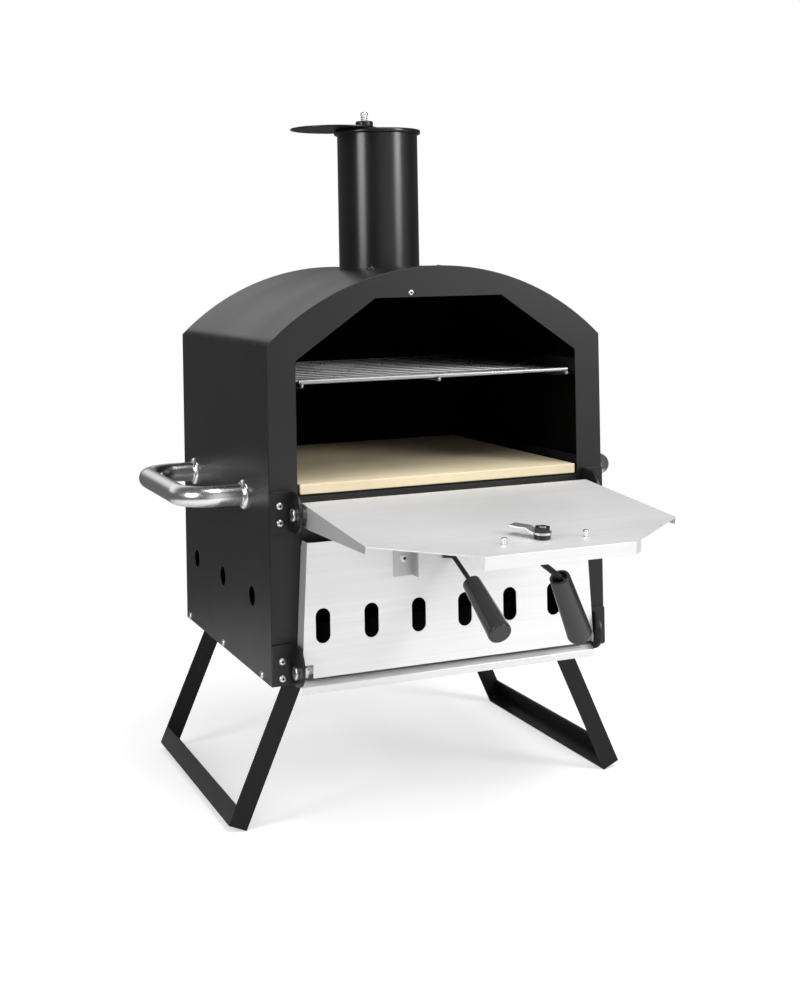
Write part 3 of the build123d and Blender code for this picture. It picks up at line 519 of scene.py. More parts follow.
def on_outline(spot):
    """True on the rim of the front panel's face: the two walls, the roof's arc and the lower edge."""
    if abs(spot.y - FRONT) > NEAR:
        return False
    from_arc = abs(Vector((spot.x, 0, spot.z - ARCH_CENTRE)).length - ARCH_RADIUS)
    on_wall = abs(abs(spot.x) - HALF_WIDTH) < NEAR
    on_arc = from_arc < NEAR_ARC and spot.z > BODY_LOW + WALL_HEIGHT - NEAR
    return on_wall or on_arc or abs(spot.z - BODY_LOW) < NEAR


def off_seam(spot):
    return abs(spot.y - FRONT - SHEET) > NEAR and abs(spot.y - BODY_REAR + SHEET) > NEAR


panel = merged_copy("front_fascia")
folded = round_off(panel, FOLD_RADIUS, segments=3, only=on_outline)
cut = round_off(panel, CUT_EDGE, corner=60.0, only=off_seam)
finished("front_panel_folded", panel, coated_with_soot_and_shade, ["front_fascia"])
print("front panel, folded edges:", folded, "cut edges:", cut)
rounded("outer_shell", coated_with_soot_and_shade, only=off_seam)
rounded("rear_panel", coated_with_soot_and_shade, only=off_seam)
rounded("base_pan", coated_with_soot_and_shade)

# %% [markdown]
# ## Doors, sill, catch and latch plates
# These are folded from brushed sheet a little over a millimetre thick. Each one takes the same small bevel,
# and the sill, which is bent over a sharper tool, gets a slightly smaller one.

# %% Brushed sheet parts
for node in ("upper_door", "lower_door", "latch_plate"):
    rounded(node, door_steel)
for node in ("door_catch", "cam_tongue"):
    rounded(node, catch_steel)
rounded("front_sill", sill_steel, width=0.22 * MM)

# %% [markdown]
# ## Legs, brackets and damper
# Each leg frame is two flat uprights joined by a foot of angle steel, and its brackets are stamped from
# sheet. The damper is a plain disc. All of them only need their cut edges softened.

# %% Coated parts outside the body
for node in ("leg_frame_left", "leg_frame_right", "leg_brackets"):
    rounded(node, leg_coated, width=0.4 * MM)
for node in ("lower_hinge_brackets", "upper_hinge_brackets", "damper_disc"):
    rounded(node, coated)
for node in ("fuel_tray", "stone_shelf", "rack_ledges", "chimney_saddle"):
    rounded(node, inner_steel, width=0.25 * MM)
for node in ("damper_boss", "latch_hub"):
    rounded(node, black_steel, width=0.35 * MM)
for node in ("upper_hinge_pins", "lower_hinge_pins", "latch_shaft", "leg_pivots", "handle_bolts"):
    rounded(node, screw_steel, width=0.25 * MM)

# %% [markdown]
# ## Turned shapes
# Screws, cups and grips are round about an axis. Their outline is drawn as a few points, a radius and a
# height each, joined by edges, and the spin operator sweeps it once round. A round stretch of an outline is
# an arc, worked out from its middle. The shape is then stood on its place: `stand` gives the matrix that
# turns the Z axis to any direction.

# %% Spin helpers
SEAM = 0.002 * MM


def stand(place, way):
    return Matrix.Translation(place) @ Vector(way).to_track_quat("Z", "Y").to_matrix().to_4x4()


def arc(middle, wide, high, start, end, steps=4):
    """Points of an outline on an arc with these half axes, from one angle to another, in degrees."""
    angles = [radians(start + (end - start) * i / steps) for i in range(steps + 1)]
    return [(middle[0] + wide * cos(angle), middle[1] + high * sin(angle)) for angle in angles]


def close_up(mesh):
    """Merges what meets, fills the open ends and turns all faces outwards."""
    bmesh.ops.remove_doubles(mesh, verts=mesh.verts, dist=SEAM)
    bmesh.ops.holes_fill(mesh, edges=[e for e in mesh.edges if e.is_boundary], sides=0)
    bmesh.ops.recalc_face_normals(mesh, faces=mesh.faces)


def turned(outline, steps, closed=False):
    """Sweeps (radius, height) points, in millimetres, once round the Z axis."""
    shape = bmesh.new()
    points = [shape.verts.new((radius * MM, 0.0, height * MM)) for radius, height in outline]
    line = points + points[:1] if closed else points
    rims = [shape.edges.new(pair) for pair in zip(line, line[1:])]
    bmesh.ops.spin(shape, geom=points + rims, cent=(0, 0, 0), axis=UP, angle=2 * pi,
                   steps=steps, use_merge=True)
    close_up(shape)
    return shape


def join_into(mesh, other, matrix):
    """Adds another bmesh, moved by the matrix, and frees it."""
    bmesh.ops.transform(other, matrix=matrix, verts=other.verts)
    carrier = bpy.data.meshes.new("carrier")
    other.to_mesh(carrier)
    other.free()
    mesh.from_mesh(carrier)
    bpy.data.meshes.remove(carrier)

# %% [markdown]
# ## The chimney
# The chimney is a rolled tube with a bead around its mouth, so its cross-section is one closed outline: up
# the outer wall, round the bead, and down the inner wall. A coarse tube would break the two long highlights
# into facets, so it is turned in many steps. The damper's tab is a small plate with a hole, welded inside
# the rim, so the part of it that would pass through the wall is pushed back into the wall.

# %% Tube, bead and tab
CHIMNEY_FOOT, CHIMNEY_MIDDLE, CHIMNEY_TALL = 386.0, 163.0, 174.0
INNER_WALL, OUTER_WALL, WALL_EDGE = 43.8, 45.0, 0.25
BEAD_LOW, BEAD_MIDDLE, BEAD_ROUND, LIP_ROUND = 169.0, 46.8, 1.8, 0.3
CHIMNEY_OUTLINE = [
    (OUTER_WALL, WALL_EDGE),
    (OUTER_WALL, BEAD_LOW),
    *arc((BEAD_MIDDLE, BEAD_LOW + BEAD_ROUND), BEAD_ROUND, BEAD_ROUND, -90, 0),
    *arc((BEAD_MIDDLE, CHIMNEY_TALL - BEAD_ROUND), BEAD_ROUND, BEAD_ROUND, 0, 90),
    *arc((INNER_WALL + LIP_ROUND, CHIMNEY_TALL - LIP_ROUND), LIP_ROUND, LIP_ROUND, 90, 180, 2),
    (INNER_WALL, WALL_EDGE),
    (INNER_WALL + WALL_EDGE, 0),
    (OUTER_WALL - WALL_EDGE, 0),
]
TAB_HOLE, TAB_RADIUS, TAB_THICK, TAB_EDGE, TAB_BITE = 2.6, 8.5, 2.0, 0.2, 0.4
DAMPER_X, DAMPER_DEPTH, DAMPER_UP = -27.0, 133.0, 560.0


def washer(hole, radius, thick, edge):
    """The cross-section of a flat ring whose four edges are cut off."""
    return [(hole, edge), (hole + edge, 0), (radius - edge, 0), (radius, edge),
            (radius, thick - edge), (radius - edge, thick), (hole + edge, thick), (hole, thick - edge)]


chimney = bmesh.new()
join_into(chimney, turned(CHIMNEY_OUTLINE, 112, closed=True), stand(at(0, CHIMNEY_MIDDLE, CHIMNEY_FOOT), UP))
tab = turned(washer(TAB_HOLE, TAB_RADIUS, TAB_THICK, TAB_EDGE), 40, closed=True)
tab_place = stand(at(DAMPER_X, DAMPER_DEPTH, DAMPER_UP - TAB_THICK), UP)
bmesh.ops.transform(tab, matrix=tab_place, verts=tab.verts)
axis = at(0, CHIMNEY_MIDDLE, 0).xy
farthest = (INNER_WALL + TAB_BITE) * MM
for vert in tab.verts:
    reach = vert.co.xy - axis
    if reach.length > farthest:
        vert.co.xy = axis + reach.normalized() * farthest
join_into(chimney, tab, Matrix())
print("chimney faces:", len(chimney.faces))
finished("rolled_chimney", chimney, tube_coated, ["chimney_tube"])

# %% [markdown]
# ## Button-head screws
# Every visible screw is a button head with a hexagon socket. The head is a turned dome on a short rim, and
# the socket starts as an inset of the dome's flat top, whose ring is pushed to a hexagon and sunk. Its walls
# and floor take the darker blackened steel as painted shade for the socket's depth. Shank and nut are inside
# the sheet.

# %% Screws
RIM, TOP, DOME_START = 0.28, 0.5, 20.0
SOCKET_INSET, SOCKET, SOCKET_DEPTH = 0.06, 0.42, 0.55


def to_hexagon(vert, size):
    """Moves a vertex of a ring, in or out, onto the hexagon with this corner radius."""
    angle = Vector((vert.co.x, vert.co.y)).angle_signed(Vector((1.0, 0.0)), 0.0) % (pi / 3)
    reach = size * cos(pi / 6) / cos(angle - pi / 6)
    vert.co.xy = vert.co.xy.normalized() * reach


def button_head(mesh, matrix, radius, height):
    """A turned dome with a hexagon socket; radius and height in millimetres."""
    wide = (1 - TOP) * radius / cos(radians(DOME_START))
    high = (1 - RIM) * height / (1 - sin(radians(DOME_START)))
    dome = arc((TOP * radius, height - high), wide, high, DOME_START, 90)
    head = turned([(radius, 0), *dome], 24)
    top = max(head.faces, key=lambda face: face.calc_center_median().z + face.calc_area())
    bmesh.ops.inset_individual(head, faces=[top], thickness=SOCKET_INSET * radius * MM, use_even_offset=True)
    for vert in top.verts:
        to_hexagon(vert, SOCKET * radius * MM)
    sunk = bmesh.ops.extrude_face_region(head, geom=[top])["geom"]
    floor_verts = [part for part in sunk if isinstance(part, bmesh.types.BMVert)]
    bmesh.ops.translate(head, verts=floor_verts, vec=(0, 0, -SOCKET_DEPTH * height * MM))
    bmesh.ops.delete(head, geom=[top], context="FACES_ONLY")
    # The socket's faces take the second, darker finish: painted shade for the socket's depth.
    for part in sunk:
        if isinstance(part, bmesh.types.BMFace):
            part.material_index = 1
    join_into(mesh, head, matrix)


def rod(mesh, matrix, radius, low, high, sides, edge):
    """A solid round or hexagonal bar along the matrix's Z, from low to high, in millimetres."""
    outline = [(0, low), (radius - edge, low), (radius, low + edge),
               (radius, high - edge), (radius - edge, high), (0, high)]
    join_into(mesh, turned(outline, sides), matrix)


def screw(mesh, matrix, head_radius, head_height, shank_radius, grip, nut_radius=3.6, nut_height=2.6):
    """A button head on the place, with its shank and nut behind the sheets that it grips."""
    button_head(mesh, matrix, head_radius, head_height)
    rod(mesh, matrix, shank_radius, -grip - nut_height - 1.0, 0.1, 12, 0.08 * shank_radius)
    rod(mesh, matrix, nut_radius, -grip - nut_height, -grip, 6, 0.25)

# %% [markdown]
# ## Where the screws sit
# The places repeat the drilling pattern of the sheets: three along each lower side, two through each hinge
# bracket, two on the roof, one above the mouth, one on the catch and two studs on the upper door. Screws
# that share a CAD node share a piece too.

# %% Screws in their places
SIDES = (-1, 1)
WALL, SHEET_MM = HALF_WIDTH / MM, SHEET / MM
SIDE_DEPTHS, SIDE_UP = (31.3, 169.5, 308.0), 5.0
BRACKET_HOLES = (8.3, 24.9, 159.7, 176.2)
BRACKET_X, BRACKET_THICK = 176.0, 2.5
ROOF_X, ROOF_DEPTH = 40.0, 88.0
MOUTH_SCREW, CATCH_SCREW = (-31.8, 0.0, 381.0), (-53.4, -20.7, 117.5)
STUD_X, STUD_S, STUD_N, DOOR_N = 41.0, 204.0, 16.0, 11.5


def screws(name, node, finish, places, **sizes):
    mesh = bmesh.new()
    for place in places:
        screw(mesh, place, **sizes)
    # The blackened second finish paints shade into the screw sockets.
    finished(name, mesh, finish, [node], black_steel)
    print(name, "screws:", len(places))


def on_roof(side):
    across = side * ROOF_X * MM
    outward = Vector((across, 0, (ARCH_RADIUS**2 - across**2) ** 0.5)).normalized()
    foot = Vector((0, FRONT + ROOF_DEPTH * MM, ARCH_CENTRE)) + outward * ARCH_RADIUS
    return stand(foot, outward)


side_spots = [(side, at(side * WALL, depth, SIDE_UP)) for side in SIDES for depth in SIDE_DEPTHS]
screws("side_screw_set", "side_screws", screw_steel, [stand(spot, (side, 0, 0)) for side, spot in side_spots],
       head_radius=3.7, head_height=2.2, shank_radius=2.0, grip=2.6)
bracket_spots = [at(side * BRACKET_X, -BRACKET_THICK, up) for side in SIDES for up in BRACKET_HOLES]
screws("hinge_screw_set", "hinge_screws", screw_steel, [stand(spot, FORWARD) for spot in bracket_spots],
       head_radius=3.7, head_height=2.4, shank_radius=2.0, grip=BRACKET_THICK + SHEET_MM)
screws("roof_screw_set", "roof_screws", black_steel, [on_roof(side) for side in SIDES],
       head_radius=4.4, head_height=3.2, shank_radius=2.0, grip=2.6)
screws("mouth_screw", "fascia_screw", screw_steel, [stand(at(*MOUTH_SCREW), FORWARD)],
       head_radius=3.0, head_height=2.0, shank_radius=1.8, grip=SHEET_MM)
screws("catch_plate_screw", "catch_screw", screw_steel, [stand(at(*CATCH_SCREW), FORWARD)],
       head_radius=4.2, head_height=2.2, shank_radius=2.0, grip=2.4)
stud_spots = [on_door(side * STUD_X, STUD_S, STUD_N) for side in SIDES]
screws("door_studs", "upper_door_screws", screw_steel, [stand(spot, OFF_DOOR) for spot in stud_spots],
       head_radius=2.7, head_height=1.6, shank_radius=1.7, grip=STUD_N - DOOR_N + 3.2)

# %% [markdown]
# ## Side handles
# Each handle is a stainless tube bent twice to a right angle. A ring of vertices travels along the handle's
# line: an extrusion makes each straight, and a spin about the bend's middle makes each corner. Spin keeps
# the tube perfectly round in its bends, where a curve with a bevel would need many points. The same helper
# bends the bars behind the grips.

# %% Bent tube handles
HANDLE_DEPTHS, HANDLE_UP, HANDLE_OUT = (83.0, 277.0), 177.0, 61.25
TUBE_RADIUS, TUBE_BEND, OFF_WALL = 10.75, 35.0, 1.0


def parts_of(kind, geometry):
    return [part for part in geometry if isinstance(part, kind)]


def straight(mesh, ring, travel):
    """Extrudes a ring of edges along the travel, and returns the ring at its end."""
    grown = bmesh.ops.extrude_edge_only(mesh, edges=ring)["geom"]
    bmesh.ops.translate(mesh, verts=parts_of(bmesh.types.BMVert, grown), vec=travel)
    return parts_of(bmesh.types.BMEdge, grown)


def bent_bar(points, radius, bend_radius, sides=16, bend_steps=6):
    """A closed bar through the points, turning at each inner one on an arc; all in metres."""
    mesh = bmesh.new()
    start = stand(points[0], points[1] - points[0])
    bmesh.ops.create_circle(mesh, segments=sides, radius=radius, matrix=start)
    ring, spot = mesh.edges[:], points[0]
    for corner, ahead in zip(points[1:], points[2:]):
        way = (corner - spot).normalized()
        onward = (ahead - corner).normalized()
        turn = way.angle(onward)
        short = bend_radius * tan(turn / 2)
        ring = straight(mesh, ring, corner - way * short - spot)
        hinge = way.cross(onward).normalized()
        middle = corner - way * short + hinge.cross(way) * bend_radius
        rim = list({vert for edge in ring for vert in edge.verts})
        swept = bmesh.ops.spin(mesh, geom=ring + rim, cent=middle, axis=hinge, angle=turn, steps=bend_steps)
        ring = parts_of(bmesh.types.BMEdge, swept["geom_last"])
        spot = corner + onward * short
    straight(mesh, ring, points[-1] - spot)
    close_up(mesh)
    return mesh


def handle(name, side, node):
    front, rear = HANDLE_DEPTHS
    inner, outer = side * (WALL + OFF_WALL), side * (WALL + HANDLE_OUT)
    corners = [at(x, y, HANDLE_UP) for x, y in ((inner, front), (outer, front), (outer, rear), (inner, rear))]
    tube = bent_bar(corners, TUBE_RADIUS * MM, TUBE_BEND * MM, sides=32, bend_steps=14)
    print(name, "faces:", len(tube.faces))
    finished(name, tube, tube_steel, [node])


handle("left_bail_tube", -1, "side_handle_left")
handle("right_bail_tube", 1, "side_handle_right")

# %% [markdown]
# ## Flange cups
# A pressed cup hides each joint between tube and wall. Seen from the side it has a flat foot, a round
# shoulder and a lip that hugs the tube; the closed outline is spun, which gives a ring with no open edge.

# %% Cups on the walls
CUP_BORE, CUP_FOOT, CUP_LIP = 10.8, 15.2, 4.4
SHOULDER_MIDDLE, SHOULDER_WIDE, SHOULDER_HIGH = (9.06, 0.66), 6.15, 4.04
CUP_OUTLINE = [
    (CUP_BORE, 0),
    (CUP_FOOT, 0),
    *arc(SHOULDER_MIDDLE, SHOULDER_WIDE, SHOULDER_HIGH, 3.3, 69.7, 5),
    (CUP_BORE, CUP_LIP),
]

cups = bmesh.new()
for side in SIDES:
    for depth in HANDLE_DEPTHS:
        cup_place = stand(at(side * WALL, depth, HANDLE_UP), (side, 0, 0))
        join_into(cups, turned(CUP_OUTLINE, 40, closed=True), cup_place)
print("cup faces:", len(cups.faces))
finished("flange_cups", cups, tube_steel, ["handle_cups"])

# %% [markdown]
# ## Grips
# A grip is moulded plastic, thicker towards its free end. The bar enters at the thin end through a recess,
# and a web crosses the recess to hold the bar's socket. The free end is a flat disc with a fine shoulder
# ring left by the mould. One outline holds all of that, and the web is a small bevelled bar laid across.

# %% Moulded grips
GRIP_LENGTH, GRIP_THIN, GRIP_THICK = 72.0, 9.4, 11.8
RECESS_RADIUS, RECESS_DEPTH = 6.6, 5.0
END_MIDDLE, END_WIDE, END_HIGH = (10.28, GRIP_LENGTH - 2.54), 1.545, 2.62
DISC_RADIUS, DISC_UP = 9.4, GRIP_LENGTH - 0.3
GRIP_OUTLINE = [
    (0, RECESS_DEPTH),
    (RECESS_RADIUS - 0.3, RECESS_DEPTH),
    (RECESS_RADIUS, RECESS_DEPTH - 0.3),
    (RECESS_RADIUS, 0.4),
    (RECESS_RADIUS + 0.4, 0),
    (GRIP_THIN - 0.7, 0),
    (GRIP_THIN - 0.2, 0.3),
    (GRIP_THIN, 1.0),
    (GRIP_THICK - 0.05, GRIP_LENGTH - 4.5),
    *arc(END_MIDDLE, END_WIDE, END_HIGH, -10, 104),
    (DISC_RADIUS + 0.3, DISC_UP + 0.05),
    (DISC_RADIUS, DISC_UP),
    (0, DISC_UP),
]
WEB_SIZE, WEB_UP, WEB_EDGE = Vector((13.0, 2.0, 3.6)) * MM, 3.3 * MM, 0.3 * MM
UPPER_GRIP_TOP = on_door(14, 205.8, -22.5)
UPPER_GRIP_WAY = (Vector((0.45, 0, 0)) - ALONG_DOOR * 0.23 - OFF_DOOR * 0.87).normalized()
LOWER_GRIP_TOP = at(0, -63.7, 95.9)
LOWER_GRIP_WAY = (at(0, -119.7, 62.7) - LOWER_GRIP_TOP).normalized()


def grip(name, top, way, node):
    mould = bmesh.new()
    join_into(mould, turned(GRIP_OUTLINE, 48), stand(top, way))
    web = bmesh.new()
    bmesh.ops.create_cube(web, size=1.0)
    bmesh.ops.scale(web, vec=WEB_SIZE, verts=web.verts)
    bmesh.ops.translate(web, vec=(0, 0, WEB_UP), verts=web.verts)
    bmesh.ops.bevel(web, geom=web.edges[:], affect="EDGES", offset=WEB_EDGE, offset_type="OFFSET",
                    segments=2, profile=0.5, material=-1)
    join_into(mould, web, stand(top, way))
    print(name, "faces:", len(mould.faces))
    finished(name, mould, grip_plastic, [node])


grip("upper_handle_grip", UPPER_GRIP_TOP, UPPER_GRIP_WAY, "upper_grip")
grip("lower_handle_grip", LOWER_GRIP_TOP, LOWER_GRIP_WAY, "lower_grip")

# %% [markdown]
# ## The damper's spring and screw
# A coil spring under a screw head lets the damper turn and stay. A small circle is spun several times round
# while it climbs, which the spin operator does when it is given a step of travel, and that is a helix.

# %% Spring and screw
SPRING_LOW, SPRING_TALL = DAMPER_UP + 7.3, 7.0
SPRING_WIRE, COIL_RADIUS, COIL_LIFT, COIL_RISE = 0.5, 3.3, 0.6, 1.87
COIL_TURNS, STEPS_A_TURN = 3, 28
PIVOT_HEAD_RADIUS, PIVOT_HEAD_HEIGHT, PIVOT_RADIUS, PIVOT_NUT = 4.4, 3.2, 2.5, 3.4

coil = bmesh.new()
wire_start = Matrix.Translation((COIL_RADIUS * MM, 0, COIL_LIFT * MM)) @ Matrix.Rotation(pi / 2, 4, "X")
bmesh.ops.create_circle(coil, segments=10, radius=SPRING_WIRE * MM, matrix=wire_start)
bmesh.ops.spin(coil, geom=coil.verts[:] + coil.edges[:], cent=(0, 0, 0), axis=UP, angle=2 * pi * COIL_TURNS,
               steps=STEPS_A_TURN * COIL_TURNS, dvec=(0, 0, COIL_RISE / STEPS_A_TURN * MM))
close_up(coil)
coil_place = stand(at(DAMPER_X, DAMPER_DEPTH, SPRING_LOW), UP)
bmesh.ops.transform(coil, matrix=coil_place, verts=coil.verts)
print("spring faces:", len(coil.faces))
finished("damper_coil_spring", coil, screw_steel, ["damper_spring"])

pivot = bmesh.new()
pivot_top = stand(at(DAMPER_X, DAMPER_DEPTH, SPRING_LOW + SPRING_TALL), UP)
button_head(pivot, pivot_top, PIVOT_HEAD_RADIUS, PIVOT_HEAD_HEIGHT)
rod(pivot, pivot_top, PIVOT_RADIUS, -SPRING_TALL - 15.3, 0.1, 16, 0.08 * PIVOT_RADIUS)
rod(pivot, pivot_top, PIVOT_NUT, -SPRING_TALL - 13.3, -SPRING_TALL - 9.7, 6, 0.25)
finished("damper_pivot_screw", pivot, screw_steel, ["damper_screw"], black_steel)

# %% [markdown]
# ## Bars behind the grips
# The bars are round steel rod, bent near the door and pushed into the grips. Their bends are short arcs, so
# the helper of the side handles bends them as well, along points on the door and in the grip.

# %% Bent bars
IN_GRIP = 34.0 * MM
LATCH_BAR_RADIUS, LATCH_BAR_BEND = 2.8 * MM, 3.0 * MM
LOWER_BAR_RADIUS, LOWER_BAR_BEND = 2.4 * MM, 4.0 * MM

upper_route = [on_door(0, 198, -7), on_door(0, 198, -10.5), UPPER_GRIP_TOP]
upper_route.append(UPPER_GRIP_TOP + UPPER_GRIP_WAY * IN_GRIP)
latch_rod = bent_bar(upper_route, LATCH_BAR_RADIUS, LATCH_BAR_BEND)
print("latch bar corners:", len(upper_route) - 2)
finished("latch_rod", latch_rod, black_steel, ["latch_bar"])
lower_route = [at(-11, -21.9, 116.5), at(0, -22.1, 115), LOWER_GRIP_TOP]
lower_route.append(LOWER_GRIP_TOP + LOWER_GRIP_WAY * IN_GRIP)
lower_rod = bent_bar(lower_route, LOWER_BAR_RADIUS, LOWER_BAR_BEND)
finished("lower_door_rod", lower_rod, black_steel, ["lower_bar"])

# %% [markdown]
# ## The wire rack
# Thin cross wires lie on three long bearers between two thicker end wires, and each crossing is a spot weld
# that squeezes out a small nugget. The wires are turned bars with rounded ends, and a nugget is a flattened
# icosphere, small enough to need only its first subdivision.

# %% Rack wires and welds
RACK_UP, RACK_HALF, RACK_STEP = 295.0, 151.5, 23.5
RACK_FRONT, RACK_BACK, CROSS_WIRES = 8.0, 290.0, 11
END_RADIUS, CROSS_RADIUS, BEARER_RADIUS = 2.4, 1.5, 2.2
BEARERS, BEARER_FRONT, BEARER_LONG, BEARER_DROP = (-148.6, 0.0, 148.6), 3.0, 292.0, 3.6
NUGGET = (2.3, 2.3, 1.5, 1.0)

rack = bmesh.new()
cross_wires = [(RACK_FRONT, END_RADIUS), (RACK_BACK, END_RADIUS)]
cross_wires += [(RACK_FRONT + RACK_STEP * (i + 1), CROSS_RADIUS) for i in range(CROSS_WIRES)]
for depth, radius in cross_wires:
    rod(rack, stand(at(-RACK_HALF, depth, RACK_UP), ACROSS), radius, 0, 2 * RACK_HALF, 12, 0.5 * radius)
    for x in BEARERS:
        weld = Matrix.Translation(at(x, depth, RACK_UP - 0.5 * BEARER_DROP)) @ Matrix.Diagonal(NUGGET)
        bmesh.ops.create_icosphere(rack, subdivisions=1, radius=MM, matrix=weld)
for x in BEARERS:
    bearer_place = stand(at(x, BEARER_FRONT, RACK_UP - BEARER_DROP), BACK)
    rod(rack, bearer_place, BEARER_RADIUS, 0, BEARER_LONG, 12, 0.5 * BEARER_RADIUS)
print("rack welds:", len(cross_wires) * len(BEARERS))
finished("welded_wire_rack", rack, shaded_wire_steel, ["cooking_rack"])

# %% [markdown]
# ## The baking stone
# A pressed slab has soft edges that crumble a little in the mould. The slab is a cube scaled to size, with
# its rim bevelled and its faces cut into a grid, and every vertex near the rim is moved by a smooth noise of
# a few tenths of a millimetre, always inwards, so that the slab stays within its size.

# %% Baking stone
STONE_EDGE, STONE_CUTS = 1.1 * MM, 72
CRUMBLE, CRUMBLE_SIZE = 0.35 * MM, 6.0 * MM
RIM_SHARE, WEAR_INSIDE = 0.985, 0.12

stone_low, stone_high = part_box("pizza_stone")
stone_size = stone_high - stone_low
middle = (stone_high + stone_low) / 2
slab = bmesh.new()
bmesh.ops.create_cube(slab, size=1.0)
bmesh.ops.scale(slab, vec=stone_size, verts=slab.verts)
bmesh.ops.bevel(slab, geom=slab.edges[:], affect="EDGES", offset=STONE_EDGE, offset_type="OFFSET",
                segments=3, profile=0.5, material=-1)
long_edges = [e for e in slab.edges if e.calc_length() > stone_size.x / 2]
bmesh.ops.subdivide_edges(slab, edges=long_edges, cuts=STONE_CUTS, use_grid_fill=True)
bmesh.ops.translate(slab, vec=middle, verts=slab.verts)
for vert in slab.verts:
    offset = vert.co - middle
    rim = max(abs(offset.x) / stone_size.x, abs(offset.y) / stone_size.y) * 2
    share = 1.0 if rim > RIM_SHARE else WEAR_INSIDE
    wear = max(0.0, noise.noise(vert.co / CRUMBLE_SIZE)) * CRUMBLE * share
    vert.co -= offset.normalized() * wear
print("stone faces:", len(slab.faces))
finished("pressed_stone", slab, stone_face, ["pizza_stone"])

# %% [markdown]
# ## Every CAD node is dressed
# Each made piece names the CAD node that it stands for. A node without a piece would show up bare, so this
# cell compares the two lists and prints what is left, which has to be nothing.

# %% Nothing is left
stood_for = {node for piece in made_pieces for node in piece["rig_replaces"]}
print("nodes without a finish:", sorted(set(frame["nodes"]) - stood_for), "pieces made:", len(made_pieces))

# %% [markdown]
# ## The floor
# The object stands on a white sweep. A round card takes its shadow, and fades out at its rim so that no
# horizon shows. A glow that lights nothing keeps the card white for the camera, and, in front of the object
# only, for the rays of shiny metal, which would otherwise mirror grey paper.

# %% Floor


def rays(f):
    """Two masks: 1 for camera rays, and 1 for the glossy and transmission rays of metal and glass."""
    camera_ray = f.node("ShaderNodeLightPath", {}, {}, out="Is Camera Ray")
    glossy, through = (f.other_output(camera_ray, name) for name in ("Is Glossy Ray", "Is Transmission Ray"))
    return camera_ray, glossy.either(through)


CARD_RADIUS, CARD_CLEAR, CARD_FADE = 1.15, 0.65, 0.05
PAPER, WHITE = (0.80, 0.80, 0.80, 1.0), (1.0, 1.0, 1.0, 1.0)
GLOW_FOR_CAMERA, GLOW_FOR_METAL = 0.46, 0.32
FRONT_WAY = (sin(radians(25.0)), -cos(radians(25.0)), 0.0)

card_mesh = bmesh.new()
bmesh.ops.create_circle(card_mesh, cap_ends=True, segments=96, radius=CARD_RADIUS)
card_data = bpy.data.meshes.new("studio_floor")
card_mesh.to_mesh(card_data)
card_mesh.free()
card = bpy.data.objects.new("studio_floor", card_data)
bpy.context.scene.collection.objects.link(card)

f = Finish("studio_floor")
from_middle = f.node("ShaderNodeVectorMath", {"operation": "LENGTH"}, {0: f.place()}, out="Value")
fade = f.range(from_middle, CARD_CLEAR, CARD_RADIUS - CARD_FADE, 0.0, 1.0, smooth=True)
paper = f.node("ShaderNodeBsdfDiffuse", {}, {"Color": PAPER})
by_camera, by_metal = rays(f)
in_front = f.range(f.dot(f.place(), FRONT_WAY), 0.15, 0.6, 0.0, GLOW_FOR_METAL, smooth=True)
glow_strength = by_camera * GLOW_FOR_CAMERA + by_metal * in_front
glow = f.node("ShaderNodeEmission", {}, {"Color": WHITE, "Strength": glow_strength})
lit = f.node("ShaderNodeAddShader", {}, {0: paper, 1: glow})
clear = f.node("ShaderNodeBsdfTransparent", {}, {})
card_data.materials.append(f.done(f.node("ShaderNodeMixShader", {}, {0: fade, 1: lit, 2: clear})))
print("floor card radius", CARD_RADIUS)

# %% [markdown]
# ## The sky
# The camera sees plain white all round. Shiny parts see the room: a white sweep that rises behind the
# object, a paler wall in front of it, and a dim studio elsewhere, which is what keeps black paint black.
# Diffuse light gets an even, low fill.

# %% Backdrop and room
BACKDROP_WAY = (sin(radians(-14.0)), cos(radians(-14.0)), 0.0)
ROOM_SEEN, ROOM_FILL, HORIZON_SEEN, FRONT_SEEN = 0.11, 0.40, 0.02, 0.58
SWEEP_NARROW, SWEEP_WIDE = 0.92, 0.66
SWEEP_STARTS, SWEEP_FULL = 0.14, 0.31

world = bpy.data.worlds.new("white_studio")
bpy.context.scene.world = world
world.use_nodes = True
w = Finish("sky", world.node_tree)
ray_way = w.node("ShaderNodeTexCoord", {}, {}, out="Generated")
height = w.other_output(w.node("ShaderNodeSeparateXYZ", {}, {"Vector": ray_way}), "Z")
rise = w.range(height, SWEEP_STARTS, SWEEP_FULL, HORIZON_SEEN, 1.0, smooth=True)
behind = w.range(w.dot(ray_way, BACKDROP_WAY), SWEEP_WIDE, SWEEP_NARROW, 0.0, 1.0 - ROOM_SEEN, smooth=True)
wall = w.range(w.dot(ray_way, FRONT_WAY), 0.5, 0.95, 0.0, FRONT_SEEN, smooth=True)
seen = ROOM_SEEN + behind * rise + wall
by_camera, by_metal = rays(w)
strength = by_camera.either(by_metal * seen + (1 - by_metal) * ROOM_FILL)
w.done(w.node("ShaderNodeBackground", {}, {"Color": WHITE, "Strength": strength}), "ShaderNodeOutputWorld")
print("fill", ROOM_FILL, "room seen by metal", ROOM_SEEN)

# %% [markdown]
# ## Lamps
# Two tall soft boxes stand at either side of the camera. They draw the two pale bands on the black chimney,
# so their places were read from the bands: a cylinder shows a lamp where its normal halves the angle between
# lamp and camera. A wide one overhead lights the open door and draws the soft shadow on the floor.

# %% Soft boxes
LOOK_AT = Vector((0.0, 0.05, 0.36))


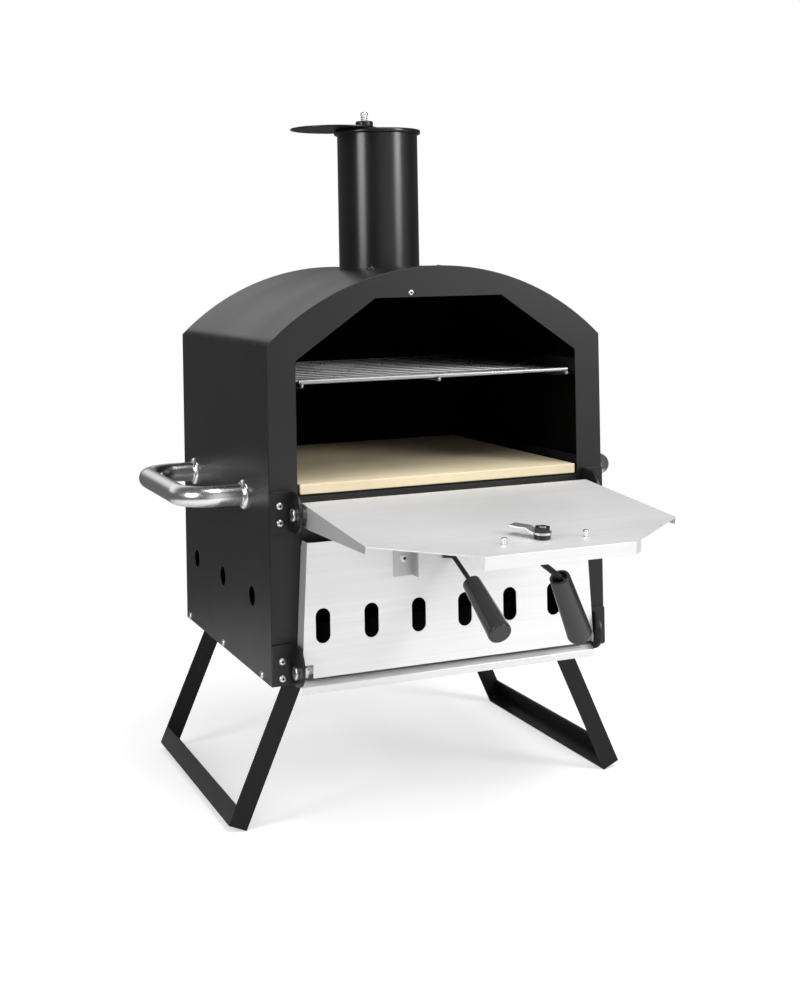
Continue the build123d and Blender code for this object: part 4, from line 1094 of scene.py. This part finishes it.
def soft_box(name, place, width, height, watts):
    lamp = bpy.data.lights.new(name, "AREA")
    lamp.shape = "RECTANGLE"
    lamp.size = width
    lamp.size_y = height
    lamp.energy = watts
    stand_in_room = bpy.data.objects.new(name, lamp)
    bpy.context.scene.collection.objects.link(stand_in_room)
    aim = (LOOK_AT - Vector(place)).to_track_quat("-Z", "Y").to_matrix().to_4x4()
    stand_in_room.matrix_world = Matrix.Translation(place) @ aim
    print(name, "radiance", round(watts / (pi * width * height), 2))


soft_box("left_soft_box", (-2.0, -0.66, 1.12), width=0.75, height=1.1, watts=24.0)
soft_box("right_soft_box", (1.33, -1.63, 1.18), width=0.70, height=1.1, watts=24.5)
soft_box("top_soft_box", (0.16, -0.60, 2.2), width=1.3, height=1.2, watts=25.5)

# %% [markdown]
# ## The camera
# The camera was solved from corners whose real places are known from the model. It stands level, a little
# left of the front, and the lens is shifted down so that the object sits in the frame as in the photograph.

# %% Camera
PICTURE_HEIGHT, HORIZON_ROW, FOCAL_PIXELS = 1000.0, 260.0, 1476.7
SENSOR = 36.0
AZIMUTH, PITCH, ROLL = radians(22.77), radians(-0.13), radians(-1.03)
EYE = at(-620.9, -1376.4, 410.7)

ahead = Vector((sin(AZIMUTH) * cos(PITCH), cos(AZIMUTH) * cos(PITCH), -sin(PITCH)))
level = Vector((cos(AZIMUTH), -sin(AZIMUTH), 0.0))
upward = level.cross(ahead)
right = level * cos(ROLL) + upward * sin(ROLL)
top = upward * cos(ROLL) - level * sin(ROLL)
lens = bpy.data.cameras.new("product_camera")
lens.lens = FOCAL_PIXELS * SENSOR / PICTURE_HEIGHT
lens.shift_y = (HORIZON_ROW - PICTURE_HEIGHT / 2) / PICTURE_HEIGHT
lens.clip_end = 50.0
camera = bpy.data.objects.new("product_camera", lens)
bpy.context.scene.collection.objects.link(camera)
camera.matrix_world = Matrix.Translation(EYE) @ Matrix((right, top, -ahead)).transposed().to_4x4()
bpy.context.scene.camera = camera
bpy.context.scene.view_settings.view_transform = "Standard"
print("lens", round(lens.lens, 2), "shift", round(lens.shift_y, 3))
